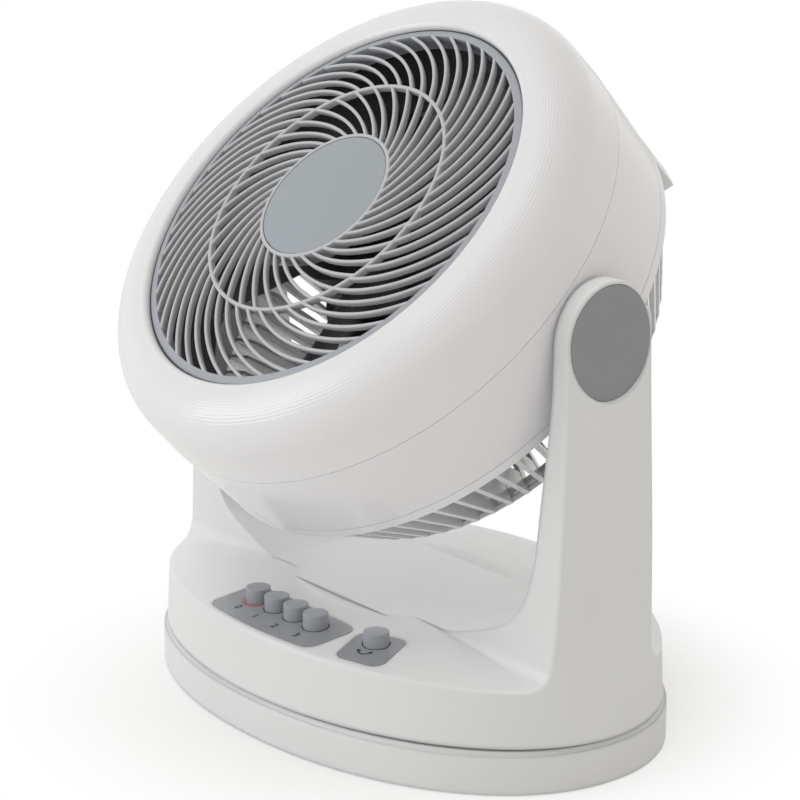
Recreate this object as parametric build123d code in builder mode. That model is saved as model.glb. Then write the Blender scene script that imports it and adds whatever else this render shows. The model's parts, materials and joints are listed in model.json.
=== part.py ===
from build123d import *
from math import cos, degrees, hypot, log, pi, radians, sin, sqrt, tan
import os

# Tabletop air circulator: a round fan head tilts between the two arms of a yoke,
# and the yoke turns on a low base disc. Millimetres, +Z up, the front faces -Y.
# The origin is on the surface it stands on, under the middle of the base.

# ---- Base disc
foot_rise = 1.5
base_half_width = 172.0
base_half_depth = 112.7
base_height = 22.2
base_edge_radius = 4.5
base_wall = 2.5
base_skirt_wall = 6.0
base_skirt_height = 6.0
plate_thickness = 2.5
plate_gap = 0.3
foot_width = 12.0
foot_sink = 1.0
foot_half_width = 146.0
foot_half_depth = 90.0
base_boss_radius = 5.0
base_boss_half_width = 118.0
base_boss_half_depth = 62.0

# ---- Screws
screw_radius = 1.6
screw_head_radius = 3.1
screw_head_height = 1.8
screw_bite = 8.0

# ---- Swivel between base and yoke
turn_gap = 1.5
thrust_gap = 0.3
post_radius = 14.0
post_bore = 8.0
post_flange_radius = 26.0
post_flange = 3.0
gear_seat_radius = 11.0
bush_wall = 2.0
bush_flange = 2.0
running_clearance = 0.05
part_gap = 0.3
hub_wall = 4.0
hub_height = 12.0
thrust_inner = 30.0
thrust_outer = 40.0
gear_module = 1.8
gear_teeth = 40
pinion_teeth = 10
gear_thickness = 5.0
tooth_backlash = 0.5
gear_addendum = 0.7
gear_dedendum = 1.05
gear_flank = 21.0
retainer_thickness = 2.0
retainer_radius = 17.0

# ---- Yoke: deck and arms
yoke_wall = 2.5
deck_wall = 3.0
wall_lean = 0.052
knee_height = 66.0
arm_top_height = 275.0
arm_top_half_width = 161.8
arm_top_half_depth = 215.0
deck_crown_height = 65.9
deck_radius_long = 1280.0
deck_radius_cross = 914.0
rim_radius = 1.5
bowl_level = 64.2
bowl_depth = 4.3
bowl_half_width = 78.0
bowl_half_depth = 57.0
pivot_height = 231.5
arm_end_rise = 31.7
arm_end_half_width = 28.6
arm_mid_half_width = 32.2
arm_mid_height = 113.0
arm_foot_half_width = 35.2
arm_foot_reach = 11.3
arm_foot_drop = 10.4
arm_foot_overlap = 0.2
arm_foot_lean = 0.12
arm_inner_x = 151.3
arm_cavity_wall = 3.2
arm_cavity_top = 190.0
# The arm's inner face in the XZ plane, from the deck up to the straight part.
arm_inner_profile = [
    (77.0, bowl_level), (101.0, 70.5), (129.1, 84.6), (141.6, 109.3),
    (145.5, 140.0), (149.2, 180.0), (arm_inner_x, 207.0),
]
floor_thickness = 2.5
floor_gap = 0.3
boss_radius = 4.5
yoke_boss_half_width = 128.0
yoke_boss_half_depth = 74.0
yoke_boss_angles = [32.0, 90.0, 148.0, 212.0, 250.0, 290.0, 328.0]

# ---- Pivots
pin_radius = 9.0
pivot_boss_radius = 13.5
pivot_boss_gap = 0.2
pivot_boss_x = 141.0
cap_half_width = 26.55
cap_half_height = 29.65
cap_gap = 0.25
cap_plane_x = 162.3
cap_wall = 1.4
cap_edge_radius = 0.6
arm_pivot_wall = 3.3
washer_radius = 15.0
washer_thickness = 1.0
pivot_screw_head = 8.0
pivot_screw_height = 1.8
friction_pad = 1.0

# ---- Controls
panel_thickness = 1.6
panel_gap = 0.3
panel_margin = 4.8
panel_half_width = 46.0
panel_back_y = -69.0
panel_corner = 8.0
button_pitch = 17.5
button_y = -82.5
button_radius = 6.9
button_gap = 0.3
button_top = 69.0
button_edge = 1.0
button_bottom = 53.6
button_travel = 3.0
ring_width = 1.5
ring_proud = 0.25
ring_gap = 0.1
swing_panel_x = 69.0
swing_panel_y = -79.0
swing_panel_width = 28.5
swing_panel_back = 17.5
swing_panel_front = 26.0
swing_panel_turn = 25.0
swing_panel_corner = 6.5
swing_panel_margin = 5.6
swing_button_x = 65.8
swing_button_y = -72.3
swing_button_top = 67.8
switch_depth = 15.0
switch_side = 9.0
switch_height = 15.0
switch_pillar = 6.0
switch_chamfer = 1.0
panel_reach = 10.0

# ---- Swing motor and capacitor in the yoke
motor_can_radius = 22.0
motor_can_height = 13.5
motor_ear_radius = 4.0
motor_shaft_radius = 2.4
capacitor_radius = 9.0
capacitor_height = 24.0
capacitor_x = -62.0
capacitor_y = 24.0
capacitor_edge = 1.5
motor_ear_thickness = 1.5

# ---- Cord inlet at the back of the base
gland_height = 12.5
gland_radius = 6.0
gland_flange_radius = 8.0
gland_bore = 3.4
gland_length = 9.0
gland_inside = 4.0
gland_flange = 2.0
gland_tip_radius = 4.6

# ---- Fan head, along its own axis from the pivot (forward is positive)
tilt = 45.5
seam_s = 32.6
seam_gap = 0.3
crest_s = 77.3
shoulder_s = 53.5
shell_radius = 150.3
shoulder_radius = 149.6
crest_radius = 125.6
opening_radius = 118.7
lip_radius = 3.0
shell_wall = 2.6
rear_line_s = -15.0
rear_line_radius = 148.4
tongue_length = 4.0
tongue_root = 5.0
tongue_wall = 1.6
tongue_gap = 0.2
duct_radius = 115.5
duct_wall = 2.5
duct_back_s = 18.0
groove_count = 13
groove_first = 122.6
groove_pitch = 1.5
groove_radius = 0.45

# ---- Front grille
grille_seat_s = 64.3
grille_rim_gap = 0.5
grille_rim_width = 3.4
ring_middle_radius = 74.3
grille_ring_width = 2.2
rib_width = 2.0
inner_ribs = 36
outer_ribs = 48
inner_start_radius = 41.0
inner_start_angle = -6.4
outer_start_radius = 77.0
outer_start_angle = -2.5
outer_turn = 0.80
outer_turn_growth = 0.0022
dome_base_s = 73.7
dome_rise = 6.5
rib_steps = 5
hub_disc_radius = 42.8
hub_disc_back = 72.0
hub_disc_front = 80.2
badge_radius = 39.7
badge_gap = 0.2
badge_thickness = 2.3
badge_drop = 0.3
badge_edge = 0.5

# ---- Rear grille and handle
rear_slats = 72
slat_thickness = 2.6
slat_depth = 7.0
slat_top_radius = 146.8
slat_bend_radius = 121.0
slat_bend_s = -66.0
rear_face_s = -71.0
rear_face_depth = 5.0
rear_flat_radius = 115.0
rim_band_s = -20.3
rim_band_inner = 139.0
rear_ring_radii = [110.5, 80.0]
rear_ring_width = 2.4
rear_plate_radius = 48.0
short_slat_radius = 80.0
ledge_s = -8.0
ledge_thickness = 2.5
handle_length = 19.7
handle_thickness = 9.6
handle_half_angle = 36.0
handle_edge = 4.0
notch_half_angle = 40.0
notch_radius = 120.0
notch_drop = 2.0
grille_screw_radius = 142.4
grille_screw_angles = [25, 155, 215, 270, 325]

# ---- Fan and motor
fan_tip_radius = 110.0
fan_hub_radius = 35.0
fan_hub_wall = 2.5
fan_hub_back = 16.0
fan_hub_front = 52.0
fan_blades = 5
blade_thickness = 2.6
blade_camber = 0.07
# Radius, chord, pitch and how far the section trails, from the hub to past the tip.
blade_stations = [(32.0, 44.0, 42.0, 0.0), (60.0, 62.0, 34.0, -2.0), (88.0, 76.0, 27.0, -7.0),
                  (114.0, 84.0, 22.0, -14.0)]
fan_boss_radius = 9.0
fan_boss_back = 30.0
shaft_radius = 4.0
shaft_back = -50.0
shaft_front = 57.0
nut_radius = 10.0
nut_height = 8.0
nut_edge = 2.0
shaft_chamfer = 0.5
bracket_radius = 46.0
bracket_wall = 2.5
bracket_front = 10.5
bracket_split = -8.0
bracket_back = -47.5
bearing_radius = 9.0
bearing_length = 8.0
rotor_radius = 29.9
air_gap = 0.4
stator_back = -32.0
stator_front = -4.0
winding_reach = 6.0
standoff_radius = 4.5
standoff_ring = 38.0


def keep(builder, name):
    """Labels a finished piece and writes it."""
    builder.part.label = name
    export_step(builder.part, f"parts/{name}.step")


# ---- Frames of the head
fan_normal = (0.0, -cos(radians(tilt)), sin(radians(tilt)))
fan_up = (0.0, sin(radians(tilt)), cos(radians(tilt)))
pivot_point = (0.0, 0.0, pivot_height)
# Across the fan: x to the right, y toward the top of the head, z forward.
head_face = Plane(origin=pivot_point, x_dir=(1, 0, 0), z_dir=fan_normal)
# Through the fan's axis: x is the radius, y the distance forward.
head_section = Plane(origin=pivot_point, x_dir=(1, 0, 0), z_dir=tuple(-v for v in fan_up))
fan_axis = Axis(pivot_point, fan_normal)


def head_turn(turn):
    """The place of something made in the fan's own frame, turned about its axis."""
    return head_face.location * Location((0, 0, 0), (0, 0, turn))


def turned(outline):
    """A solid turned about the fan's axis from (radius, distance forward) points."""
    with BuildPart() as solid:
        with BuildSketch(head_section):
            with BuildLine():
                Polyline(*outline, close=True)
            make_face()
        revolve(axis=fan_axis)
    return solid.part


def head_tube(outer, inner, back, front):
    """A round tube, or a disc where inner is 0, about the fan's axis."""
    with BuildPart() as tube:
        with BuildSketch(head_face.offset(back)):
            Circle(outer)
            if inner:
                Circle(inner, mode=Mode.SUBTRACT)
        extrude(amount=front - back)
    return tube.part


def upright_tube(outer, inner, low, high):
    """A round tube, or a disc where inner is 0, about the swivel's axis."""
    with BuildPart() as tube:
        with BuildSketch(Plane.XY.offset(low)):
            Circle(outer)
            if inner:
                Circle(inner, mode=Mode.SUBTRACT)
        extrude(amount=high - low)
    return tube.part


def ring_spots(half_width, half_depth, angles):
    """Points at these angles on an ellipse."""
    return [(half_width * cos(radians(a)), half_depth * sin(radians(a))) for a in angles]


def screws(plane, spots, length):
    """Screws with their heads' outer faces on the plane and shanks along its -Z."""
    with BuildPart() as group:
        with BuildSketch(plane):
            with Locations(*spots):
                Circle(screw_head_radius)
        extrude(amount=-screw_head_height)
        with BuildSketch(plane.offset(-screw_head_height)):
            with Locations(*spots):
                Circle(screw_radius)
        extrude(amount=-(length - screw_head_height))
    return group.part


# ---- Heights of the base and the swivel
base_top = foot_rise + base_height
yoke_low = base_top + turn_gap
floor_top = yoke_low + floor_thickness
hub_radius = post_radius + bush_wall + hub_wall
hub_top = yoke_low + hub_height
gear_low = max(hub_top + bush_flange, floor_top + motor_can_height) + part_gap
gear_high = gear_low + gear_thickness
gear_pitch = gear_module * gear_teeth / 2
pinion_pitch = gear_module * pinion_teeth / 2
pinion_y = gear_pitch + pinion_pitch

base_boss_spots = ring_spots(base_boss_half_width, base_boss_half_depth, range(45, 360, 90))
plate_top = foot_rise + plate_thickness
post_low = base_top - base_wall - post_flange


# ---- Base shell: an oval tub, open below
with BuildPart() as base_shell:
    with BuildSketch(Plane.XY.offset(foot_rise)):
        Ellipse(base_half_width, base_half_depth)
    extrude(amount=base_height)
    fillet(base_shell.edges().group_by(Axis.Z)[0], base_edge_radius)
    with BuildSketch(Plane.XY.offset(foot_rise)):
        Ellipse(base_half_width - base_skirt_wall, base_half_depth - base_skirt_wall)
    extrude(amount=base_skirt_height, mode=Mode.SUBTRACT)
    with BuildSketch(Plane.XY.offset(foot_rise + base_skirt_height)):
        Ellipse(base_half_width - base_wall, base_half_depth - base_wall)
    extrude(amount=base_height - base_skirt_height - base_wall, mode=Mode.SUBTRACT)
    with BuildSketch(Plane.XY.offset(plate_top)):
        with Locations(*base_boss_spots):
            Circle(base_boss_radius)
    extrude(amount=base_top - base_wall - plate_top)
    with BuildSketch(Plane.XY.offset(foot_rise)):
        Circle(post_radius)
        with Locations(*base_boss_spots):
            Circle(screw_radius)
    extrude(amount=base_height - base_wall, mode=Mode.SUBTRACT)
    with BuildSketch(Plane.XY.offset(base_top - base_wall)):
        Circle(post_radius)
    extrude(amount=base_wall, mode=Mode.SUBTRACT)
    with BuildSketch(Plane.XZ.offset(-base_half_depth - 1)):
        with Locations((0, gland_height)):
            Circle(gland_radius)
    extrude(amount=base_skirt_wall * 2, mode=Mode.SUBTRACT)
keep(base_shell, "base_shell")

# ---- Base plate closing the tub, with a groove for the rubber ring that it stands on
with BuildPart() as base_plate:
    with BuildSketch(Plane.XY.offset(foot_rise)):
        Ellipse(base_half_width - base_skirt_wall - plate_gap,
                base_half_depth - base_skirt_wall - plate_gap)
    extrude(amount=plate_thickness)
    with BuildSketch(Plane.XY.offset(foot_rise)):
        Ellipse(foot_half_width, foot_half_depth)
        Ellipse(foot_half_width - foot_width, foot_half_depth - foot_width, mode=Mode.SUBTRACT)
    extrude(amount=foot_sink, mode=Mode.SUBTRACT)
    with BuildSketch(Plane.XY.offset(foot_rise)):
        with Locations(*base_boss_spots):
            Circle(screw_radius)
    extrude(amount=plate_thickness, mode=Mode.SUBTRACT)
    with BuildSketch(Plane.XY.offset(foot_rise)):
        with Locations(*base_boss_spots):
            Circle(screw_head_radius)
    extrude(amount=screw_head_height, mode=Mode.SUBTRACT)
keep(base_plate, "base_plate")

with BuildPart() as foot_ring:
    with BuildSketch():
        Ellipse(foot_half_width, foot_half_depth)
        Ellipse(foot_half_width - foot_width, foot_half_depth - foot_width, mode=Mode.SUBTRACT)
    extrude(amount=foot_rise + foot_sink)
keep(foot_ring, "foot_ring")

base_screw_length = plate_thickness + screw_bite
with BuildPart() as base_screws:
    add(screws(Plane.XY.offset(foot_rise).rotated((180, 0, 0)), [(x, -y) for x, y in base_boss_spots],
               base_screw_length))
keep(base_screws, "base_screws")

# ---- Swivel post: a hollow spindle hung under the top of the base
with BuildPart() as swivel_post:
    add(upright_tube(post_radius, 0, post_low, gear_low))
    add(upright_tube(post_flange_radius, 0, post_low, base_top - base_wall))
    add(upright_tube(gear_seat_radius, 0, gear_low, gear_high + retainer_thickness))
    with BuildSketch(Plane.XY.offset(post_low)):
        Circle(post_bore)
    extrude(amount=gear_high + retainer_thickness - post_low, mode=Mode.SUBTRACT)
keep(swivel_post, "swivel_post")

with BuildPart() as thrust_ring:
    add(upright_tube(thrust_outer, thrust_inner, base_top, yoke_low - thrust_gap))
keep(thrust_ring, "thrust_ring")


def gear_face(teeth):
    """A spur gear's face with straight flanks, the first tooth on the +X side."""
    pitch = gear_module * teeth / 2
    root, tip = pitch - gear_dedendum * gear_module, pitch + gear_addendum * gear_module
    half = (pi * gear_module / 2 - tooth_backlash) / 2
    flank = tan(radians(gear_flank))
    half_root, half_tip = half + (pitch - root) * flank, half - (tip - pitch) * flank
    with BuildSketch() as tooth:
        with BuildLine():
            Polyline((root - gear_module, -half_root), (root, -half_root), (tip, -half_tip),
                     (tip, half_tip), (root, half_root), (root - gear_module, half_root), close=True)
        make_face()
    with BuildSketch() as face:
        Circle(root)
        with PolarLocations(0, teeth):
            add(tooth.sketch)
    return face.sketch


with BuildPart() as swing_gear:
    with BuildSketch(Plane.XY.offset(gear_low)):
        add(gear_face(gear_teeth))
        Circle(gear_seat_radius, mode=Mode.SUBTRACT)
    extrude(amount=gear_thickness)
keep(swing_gear, "swing_gear")

with BuildPart() as spindle_retainer:
    add(upright_tube(retainer_radius, gear_seat_radius, gear_high, gear_high + retainer_thickness))
keep(spindle_retainer, "spindle_retainer")

# ---- Cord inlet: a sleeve with an outer flange in the back of the base
with BuildPart() as cord_gland:
    with BuildSketch(Plane.YZ):
        with BuildLine():
            Polyline((base_half_depth - gland_inside, gland_height + gland_bore),
                     (base_half_depth - gland_inside, gland_height + gland_radius),
                     (base_half_depth, gland_height + gland_radius),
                     (base_half_depth, gland_height + gland_flange_radius),
                     (base_half_depth + gland_flange, gland_height + gland_flange_radius),
                     (base_half_depth + gland_flange, gland_height + gland_radius),
                     (base_half_depth + gland_length, gland_height + gland_tip_radius),
                     (base_half_depth + gland_length, gland_height + gland_bore), close=True)
        make_face()
    revolve(axis=Axis((0, 0, gland_height), (0, 1, 0)))
keep(cord_gland, "cord_gland")


# ---- Yoke: the outer form that the deck and both arms share
def wall_half_sizes(height):
    """Half width and half depth of the yoke's wall at a height: it flattens over the arms."""
    inset = wall_lean * (min(height, knee_height) - yoke_low)
    half_width = base_half_width - inset
    half_depth = base_half_depth - inset
    if height > knee_height:
        share = (height - knee_height) / (arm_top_height - knee_height)
        half_width += share * (arm_top_half_width - half_width)
        half_depth += share * (arm_top_half_depth - half_depth)
    return half_width, half_depth


def wall_oval(height, inset):
    """The yoke's outline at a height, inside its wall by an inset."""
    half_width, half_depth = wall_half_sizes(height)
    with BuildSketch(Plane.XY.offset(height)) as outline:
        Ellipse(half_width - inset, half_depth - inset)
    return outline.sketch.face()


def envelope(inset):
    """Everything inside the yoke's leaning wall, less an even wall thickness."""
    with BuildPart() as body:
        loft(sections=[wall_oval(height, inset) for height in (yoke_low, knee_height, arm_top_height)],
             ruled=True)
    return body.part


def crown(drop):
    """Everything below the deck's domed top, lowered by drop."""
    edge_y = base_half_depth + 10.0
    edge_z = deck_crown_height - drop - edge_y ** 2 / (2 * deck_radius_cross)
    with BuildPart() as body:
        with BuildSketch(Plane.YZ):
            with BuildLine():
                ThreePointArc((-edge_y, edge_z), (0, deck_crown_height - drop), (edge_y, edge_z))
                Polyline((edge_y, edge_z), (edge_y, foot_rise), (-edge_y, foot_rise), (-edge_y, edge_z))
            make_face()
        revolve(axis=Axis((0, 0, deck_crown_height - deck_radius_long), (0, 1, 0)))
    return body.part


def shifted(points, distance):
    """The points of an outline moved square to it by a distance, to the right of its run."""
    moved = []
    for i, (x, z) in enumerate(points):
        (x0, z0), (x1, z1) = points[max(i - 1, 0)], points[min(i + 1, len(points) - 1)]
        run = hypot(x1 - x0, z1 - z0)
        moved.append((x + distance * (z1 - z0) / run, z - distance * (x1 - x0) / run))
    return moved


def trough(points, level):
    """The space between the arms: flat over the deck, then up each arm's inner face."""
    top = pivot_height + 2 * arm_end_rise
    with BuildPart() as body:
        with BuildSketch(Plane.XZ):
            with BuildLine():
                Line((-points[0][0], level), (points[0][0], level))
                for side in (1, -1):
                    mirrored = [(x * side, z) for x, z in points]
                    Spline(*mirrored, tangents=[(side, 0.1), (0.05 * side, 1)])
                    Line(mirrored[-1], (points[-1][0] * side, top))
                Line((points[-1][0], top), (-points[-1][0], top))
            make_face()
        extrude(amount=base_half_depth, both=True)
    return body.part


def bowl(drop):
    """The shallow hollow in the middle of the deck, lowered by drop."""
    low = bowl_level - bowl_depth - drop
    roll = (bowl_half_width ** 2 + bowl_depth ** 2) / (2 * bowl_depth)
    with BuildPart() as body:
        with BuildSketch(Plane.YZ):
            with BuildLine():
                ThreePointArc((-bowl_half_depth, bowl_level - drop), (0, low),
                              (bowl_half_depth, bowl_level - drop))
                Line((bowl_half_depth, bowl_level - drop), (-bowl_half_depth, bowl_level - drop))
            make_face()
        revolve(axis=Axis((0, 0, low + roll), (0, 1, 0)))
        Box(2 * bowl_half_width, 4 * bowl_half_depth, 2 * pivot_height, mode=Mode.INTERSECT)
    return body.part


def wall_edges(shape, low):
    """Edges above a height that lie on the yoke's wall and climb along it."""
    chosen = ShapeList()
    for edge in shape.edges():
        middle, box = edge.position_at(0.5), edge.bounding_box()
        half_width, half_depth = wall_half_sizes(middle.Z)
        level = (middle.X / half_width) ** 2 + (middle.Y / half_depth) ** 2
        if level > 0.99 and box.min.Z > low and box.size.Z > 1.0 and box.size.Y > 0.1:
            chosen.append(edge)
    return chosen


yoke_boss_spots = ring_spots(yoke_boss_half_width, yoke_boss_half_depth, yoke_boss_angles)
outer_envelope = envelope(0)
inner_envelope = envelope(yoke_wall)
between_arms = trough(arm_inner_profile, bowl_level)
deck_bowl = bowl(0)

# The yoke is rounded in two blocks that meet at a pair of flat cuts beyond the arms' feet.
arm_foot_low = knee_height - arm_foot_drop
arm_foot_end = arm_foot_half_width + arm_foot_reach
arm_foot_split = arm_foot_end - arm_foot_overlap
with BuildPart() as arm_block:
    with BuildSketch(Plane.YZ):
        with BuildLine():
            Spline(*[(-arm_end_half_width * cos(radians(turn)), pivot_height + arm_end_rise * sin(radians(turn)))
                     for turn in range(0, 181, 30)], tangents=[(0, 1), (0, -1)])
            for side in (1, -1):
                foot = (arm_foot_half_width * side, knee_height)
                toe = (arm_foot_end * side, arm_foot_low)
                Spline((arm_end_half_width * side, pivot_height),
                       (arm_mid_half_width * side, arm_mid_height), foot, tangents=[(0, -1), (arm_foot_lean * side, -1)])
                TangentArc(foot, toe, tangent=(arm_foot_lean * side, -1))
                Line(toe, (toe[0], floor_top))
            Line((toe[0], floor_top), (-toe[0], floor_top))
        make_face()
    extrude(amount=base_half_width, both=True)
    add(crown(0))
    Box(3 * base_half_width, 2 * arm_foot_split, 4 * pivot_height, mode=Mode.INTERSECT)
    add(outer_envelope, mode=Mode.INTERSECT)
    add(between_arms, mode=Mode.SUBTRACT)
    add(deck_bowl, mode=Mode.SUBTRACT)
    fillet(wall_edges(arm_block.part, arm_foot_low), rim_radius)

with BuildPart() as deck_block:
    add(outer_envelope)
    add(crown(0), mode=Mode.INTERSECT)
    add(between_arms, mode=Mode.SUBTRACT)
    add(deck_bowl, mode=Mode.SUBTRACT)
    Box(3 * base_half_width, 2 * arm_foot_split, 4 * pivot_height, mode=Mode.SUBTRACT)
    fillet(wall_edges(deck_block.part, floor_top), rim_radius)

# ---- Spaces inside the yoke
lowered = Location((0, 0, -deck_wall))
with BuildPart() as deck_space:
    add(inner_envelope)
    add(crown(deck_wall), mode=Mode.INTERSECT)
    add(between_arms.moved(lowered), mode=Mode.SUBTRACT)
    add(bowl(deck_wall), mode=Mode.SUBTRACT)
    with BuildSketch(Plane.XY.offset(floor_top)):
        with Locations(*yoke_boss_spots):
            Circle(boss_radius)
    extrude(amount=deck_crown_height - floor_top, mode=Mode.SUBTRACT)

arm_space_profile = shifted(arm_inner_profile, arm_cavity_wall)
with BuildPart() as arm_space:
    with BuildSketch(Plane.XZ):
        with BuildLine():
            Polyline(*arm_space_profile[1:-1],
                     (arm_space_profile[-2][0] + arm_cavity_wall, arm_cavity_top),
                     (base_half_width, arm_cavity_top), (base_half_width, floor_top),
                     (arm_space_profile[1][0], floor_top), close=True)
        make_face()
        mirror(about=Plane.YZ)
    extrude(amount=arm_end_half_width - arm_cavity_wall, both=True)
    add(inner_envelope, mode=Mode.INTERSECT)


# ---- Outlines of the control panels and their buttons, in plan
def panel_faces(growth):
    """The two panels' outlines in plan, grown all round by a gap."""
    rim_x, rim_y = (half - panel_rim_lean + growth for half in (base_half_width, base_half_depth))
    with BuildSketch() as speed:
        Ellipse(rim_x - panel_margin, rim_y - panel_margin)
        with Locations((0, panel_back_y - base_half_depth / 2)):
            Rectangle(2 * (panel_half_width + growth), base_half_depth + 2 * growth, mode=Mode.INTERSECT)
        fillet(speed.vertices(), panel_corner + growth)
    with BuildSketch() as swing:
        Ellipse(rim_x - swing_panel_margin, rim_y - swing_panel_margin)
        with BuildSketch(mode=Mode.PRIVATE) as slab:
            with Locations((0, (swing_panel_back - swing_panel_front) / 2)):
                Rectangle(swing_panel_width + 2 * growth, swing_panel_back + swing_panel_front + 2 * growth)
        add(slab.sketch.rotate(Axis.Z, swing_panel_turn).moved(Location((swing_panel_x, swing_panel_y))),
            mode=Mode.INTERSECT)
        fillet(swing.vertices(), swing_panel_corner + growth)
    return speed.sketch, swing.sketch


panel_rim_lean = wall_lean * (deck_crown_height - yoke_low)
button_spots = [(button_pitch * (i - 1.5), button_y) for i in range(4)]
swing_button_spot = (swing_button_x, swing_button_y)
speed_face, swing_face = panel_faces(0)
speed_pocket, swing_pocket = panel_faces(panel_gap)


def over_crown(faces, drop, holes):
    """The part of these faces' columns that stands above the deck lowered by drop."""
    with BuildPart() as column:
        with BuildSketch(Plane.XY.offset(bowl_level - 20)):
            for face in faces:
                add(face)
            if holes:
                with Locations(*holes):
                    Circle(button_radius + button_gap, mode=Mode.SUBTRACT)
        extrude(amount=40)
        add(crown(drop), mode=Mode.SUBTRACT)
    return column.part


# ---- The oval plug that an arm's end is hollowed for and that its cap is cut from
def side_plug(side, growth, near, far):
    """The pivot cap's outline, grown all round, between two distances out from the middle."""
    with BuildPart() as plug:
        with BuildSketch(Plane.YZ.offset(side * near)):
            with Locations((0, pivot_height)):
                Ellipse(cap_half_width + growth, cap_half_height + growth)
        extrude(amount=side * (far - near))
    return plug.part


# ---- Yoke housing: deck and arms in one piece, open below
with BuildPart() as yoke_housing:
    add(deck_block.part)
    add(arm_block.part)
    add(deck_space.part, mode=Mode.SUBTRACT)
    add(arm_space.part, mode=Mode.SUBTRACT)
    with BuildSketch(Plane.XY.offset(yoke_low)):
        add(wall_oval(yoke_low, yoke_wall))
    extrude(amount=floor_thickness, mode=Mode.SUBTRACT)
    add(over_crown([speed_pocket, swing_pocket], panel_thickness, None), mode=Mode.SUBTRACT)
    with BuildSketch(Plane.XY.offset(floor_top)):
        with Locations(*button_spots, swing_button_spot):
            Circle(button_radius + button_gap)
    extrude(amount=deck_crown_height, mode=Mode.SUBTRACT)
    with BuildSketch(Plane.YZ):
        with Locations((0, pivot_height)):
            Circle(pin_radius + running_clearance)
    extrude(amount=base_half_width, both=True, mode=Mode.SUBTRACT)
    for side in (1, -1):
        add(side_plug(side, cap_gap, arm_inner_x + arm_pivot_wall, base_half_width), mode=Mode.SUBTRACT)
    with BuildSketch(Plane.XY.offset(floor_top)):
        with Locations(*yoke_boss_spots):
            Circle(screw_radius)
    extrude(amount=screw_bite, mode=Mode.SUBTRACT)
keep(yoke_housing, "yoke_housing")


# ---- Yoke floor: the turning plate, with a hub for the post and pillars for the switches
switch_low = button_bottom - button_travel - part_gap - switch_height
switch_spots = [(button_pitch * 1.5 * side, button_y) for side in (1, -1)] + [swing_button_spot]
with BuildPart() as yoke_floor:
    with BuildSketch(Plane.XY.offset(yoke_low)):
        add(wall_oval(yoke_low, yoke_wall + floor_gap))
    extrude(amount=floor_thickness)
    add(upright_tube(hub_radius, 0, yoke_low, hub_top))
    with BuildSketch(Plane.XY.offset(floor_top)):
        with Locations(*switch_spots):
            Rectangle(switch_pillar, switch_pillar)
    extrude(amount=switch_low - floor_top)
    with BuildSketch(Plane.XY.offset(yoke_low)):
        Circle(post_radius + bush_wall)
    extrude(amount=hub_height, mode=Mode.SUBTRACT)
    with BuildSketch(Plane.XY.offset(yoke_low)):
        with Locations(*yoke_boss_spots):
            Circle(screw_radius)
    extrude(amount=floor_thickness, mode=Mode.SUBTRACT)
    with BuildSketch(Plane.XY.offset(yoke_low)):
        with Locations(*yoke_boss_spots):
            Circle(screw_head_radius)
    extrude(amount=screw_head_height, mode=Mode.SUBTRACT)
keep(yoke_floor, "yoke_floor")

with BuildPart() as yoke_screws:
    add(screws(Plane.XY.offset(yoke_low).rotated((180, 0, 0)), [(x, -y) for x, y in yoke_boss_spots],
               floor_thickness + screw_bite))
keep(yoke_screws, "yoke_screws")

with BuildPart() as swivel_bush:
    add(upright_tube(post_radius + bush_wall, post_radius + running_clearance, yoke_low, hub_top))
    add(upright_tube(hub_radius, post_radius + running_clearance, hub_top, hub_top + bush_flange))
keep(swivel_bush, "swivel_bush")

# ---- Swing drive: a geared motor on the floor whose pinion rolls round the fixed gear
with BuildPart() as swing_motor:
    with BuildSketch(Plane.XY.offset(floor_top)):
        with Locations((0, pinion_y)):
            Circle(motor_can_radius)
    extrude(amount=motor_can_height)
    with BuildSketch(Plane.XY.offset(floor_top)):
        with Locations((motor_can_radius + motor_ear_radius / 2, pinion_y),
                       (-motor_can_radius - motor_ear_radius / 2, pinion_y)):
            RectangleRounded(3 * motor_ear_radius, 2 * motor_ear_radius, motor_ear_radius * 0.9)
    extrude(amount=motor_ear_thickness)
    with BuildSketch(Plane.XY.offset(floor_top + motor_can_height)):
        with Locations((0, pinion_y)):
            Circle(motor_shaft_radius)
    extrude(amount=gear_high - floor_top - motor_can_height)
keep(swing_motor, "swing_motor")

with BuildPart() as swing_pinion:
    with BuildSketch(Plane.XY.offset(gear_low)):
        with Locations((0, pinion_y)):
            add(gear_face(pinion_teeth))
            Circle(motor_shaft_radius + running_clearance, mode=Mode.SUBTRACT)
    extrude(amount=gear_thickness)
keep(swing_pinion, "swing_pinion")

with BuildPart() as capacitor:
    with BuildSketch(Plane.XY.offset(floor_top)):
        with Locations((capacitor_x, capacitor_y)):
            Circle(capacitor_radius)
    extrude(amount=capacitor_height)
    fillet(capacitor.edges().group_by(Axis.Z)[-1], capacitor_edge)
keep(capacitor, "capacitor")

# ---- Control panels let into the deck, flush with it
with BuildPart() as button_panel:
    with BuildSketch(Plane.XY.offset(bowl_level - 2 * panel_reach)):
        add(speed_face)
        with Locations(*button_spots):
            Circle(button_radius + button_gap, mode=Mode.SUBTRACT)
        with Locations(button_spots[0]):
            Circle(button_radius + button_gap + ring_width + ring_gap, mode=Mode.SUBTRACT)
    extrude(amount=3 * panel_reach)
    add(crown(0), mode=Mode.INTERSECT)
    add(crown(panel_thickness), mode=Mode.SUBTRACT)
keep(button_panel, "button_panel")

with BuildPart() as swing_panel:
    with BuildSketch(Plane.XY.offset(bowl_level - 2 * panel_reach)):
        add(swing_face)
        with Locations(swing_button_spot):
            Circle(button_radius + button_gap, mode=Mode.SUBTRACT)
    extrude(amount=3 * panel_reach)
    add(crown(0), mode=Mode.INTERSECT)
    add(crown(panel_thickness), mode=Mode.SUBTRACT)
keep(swing_panel, "swing_panel")

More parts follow.
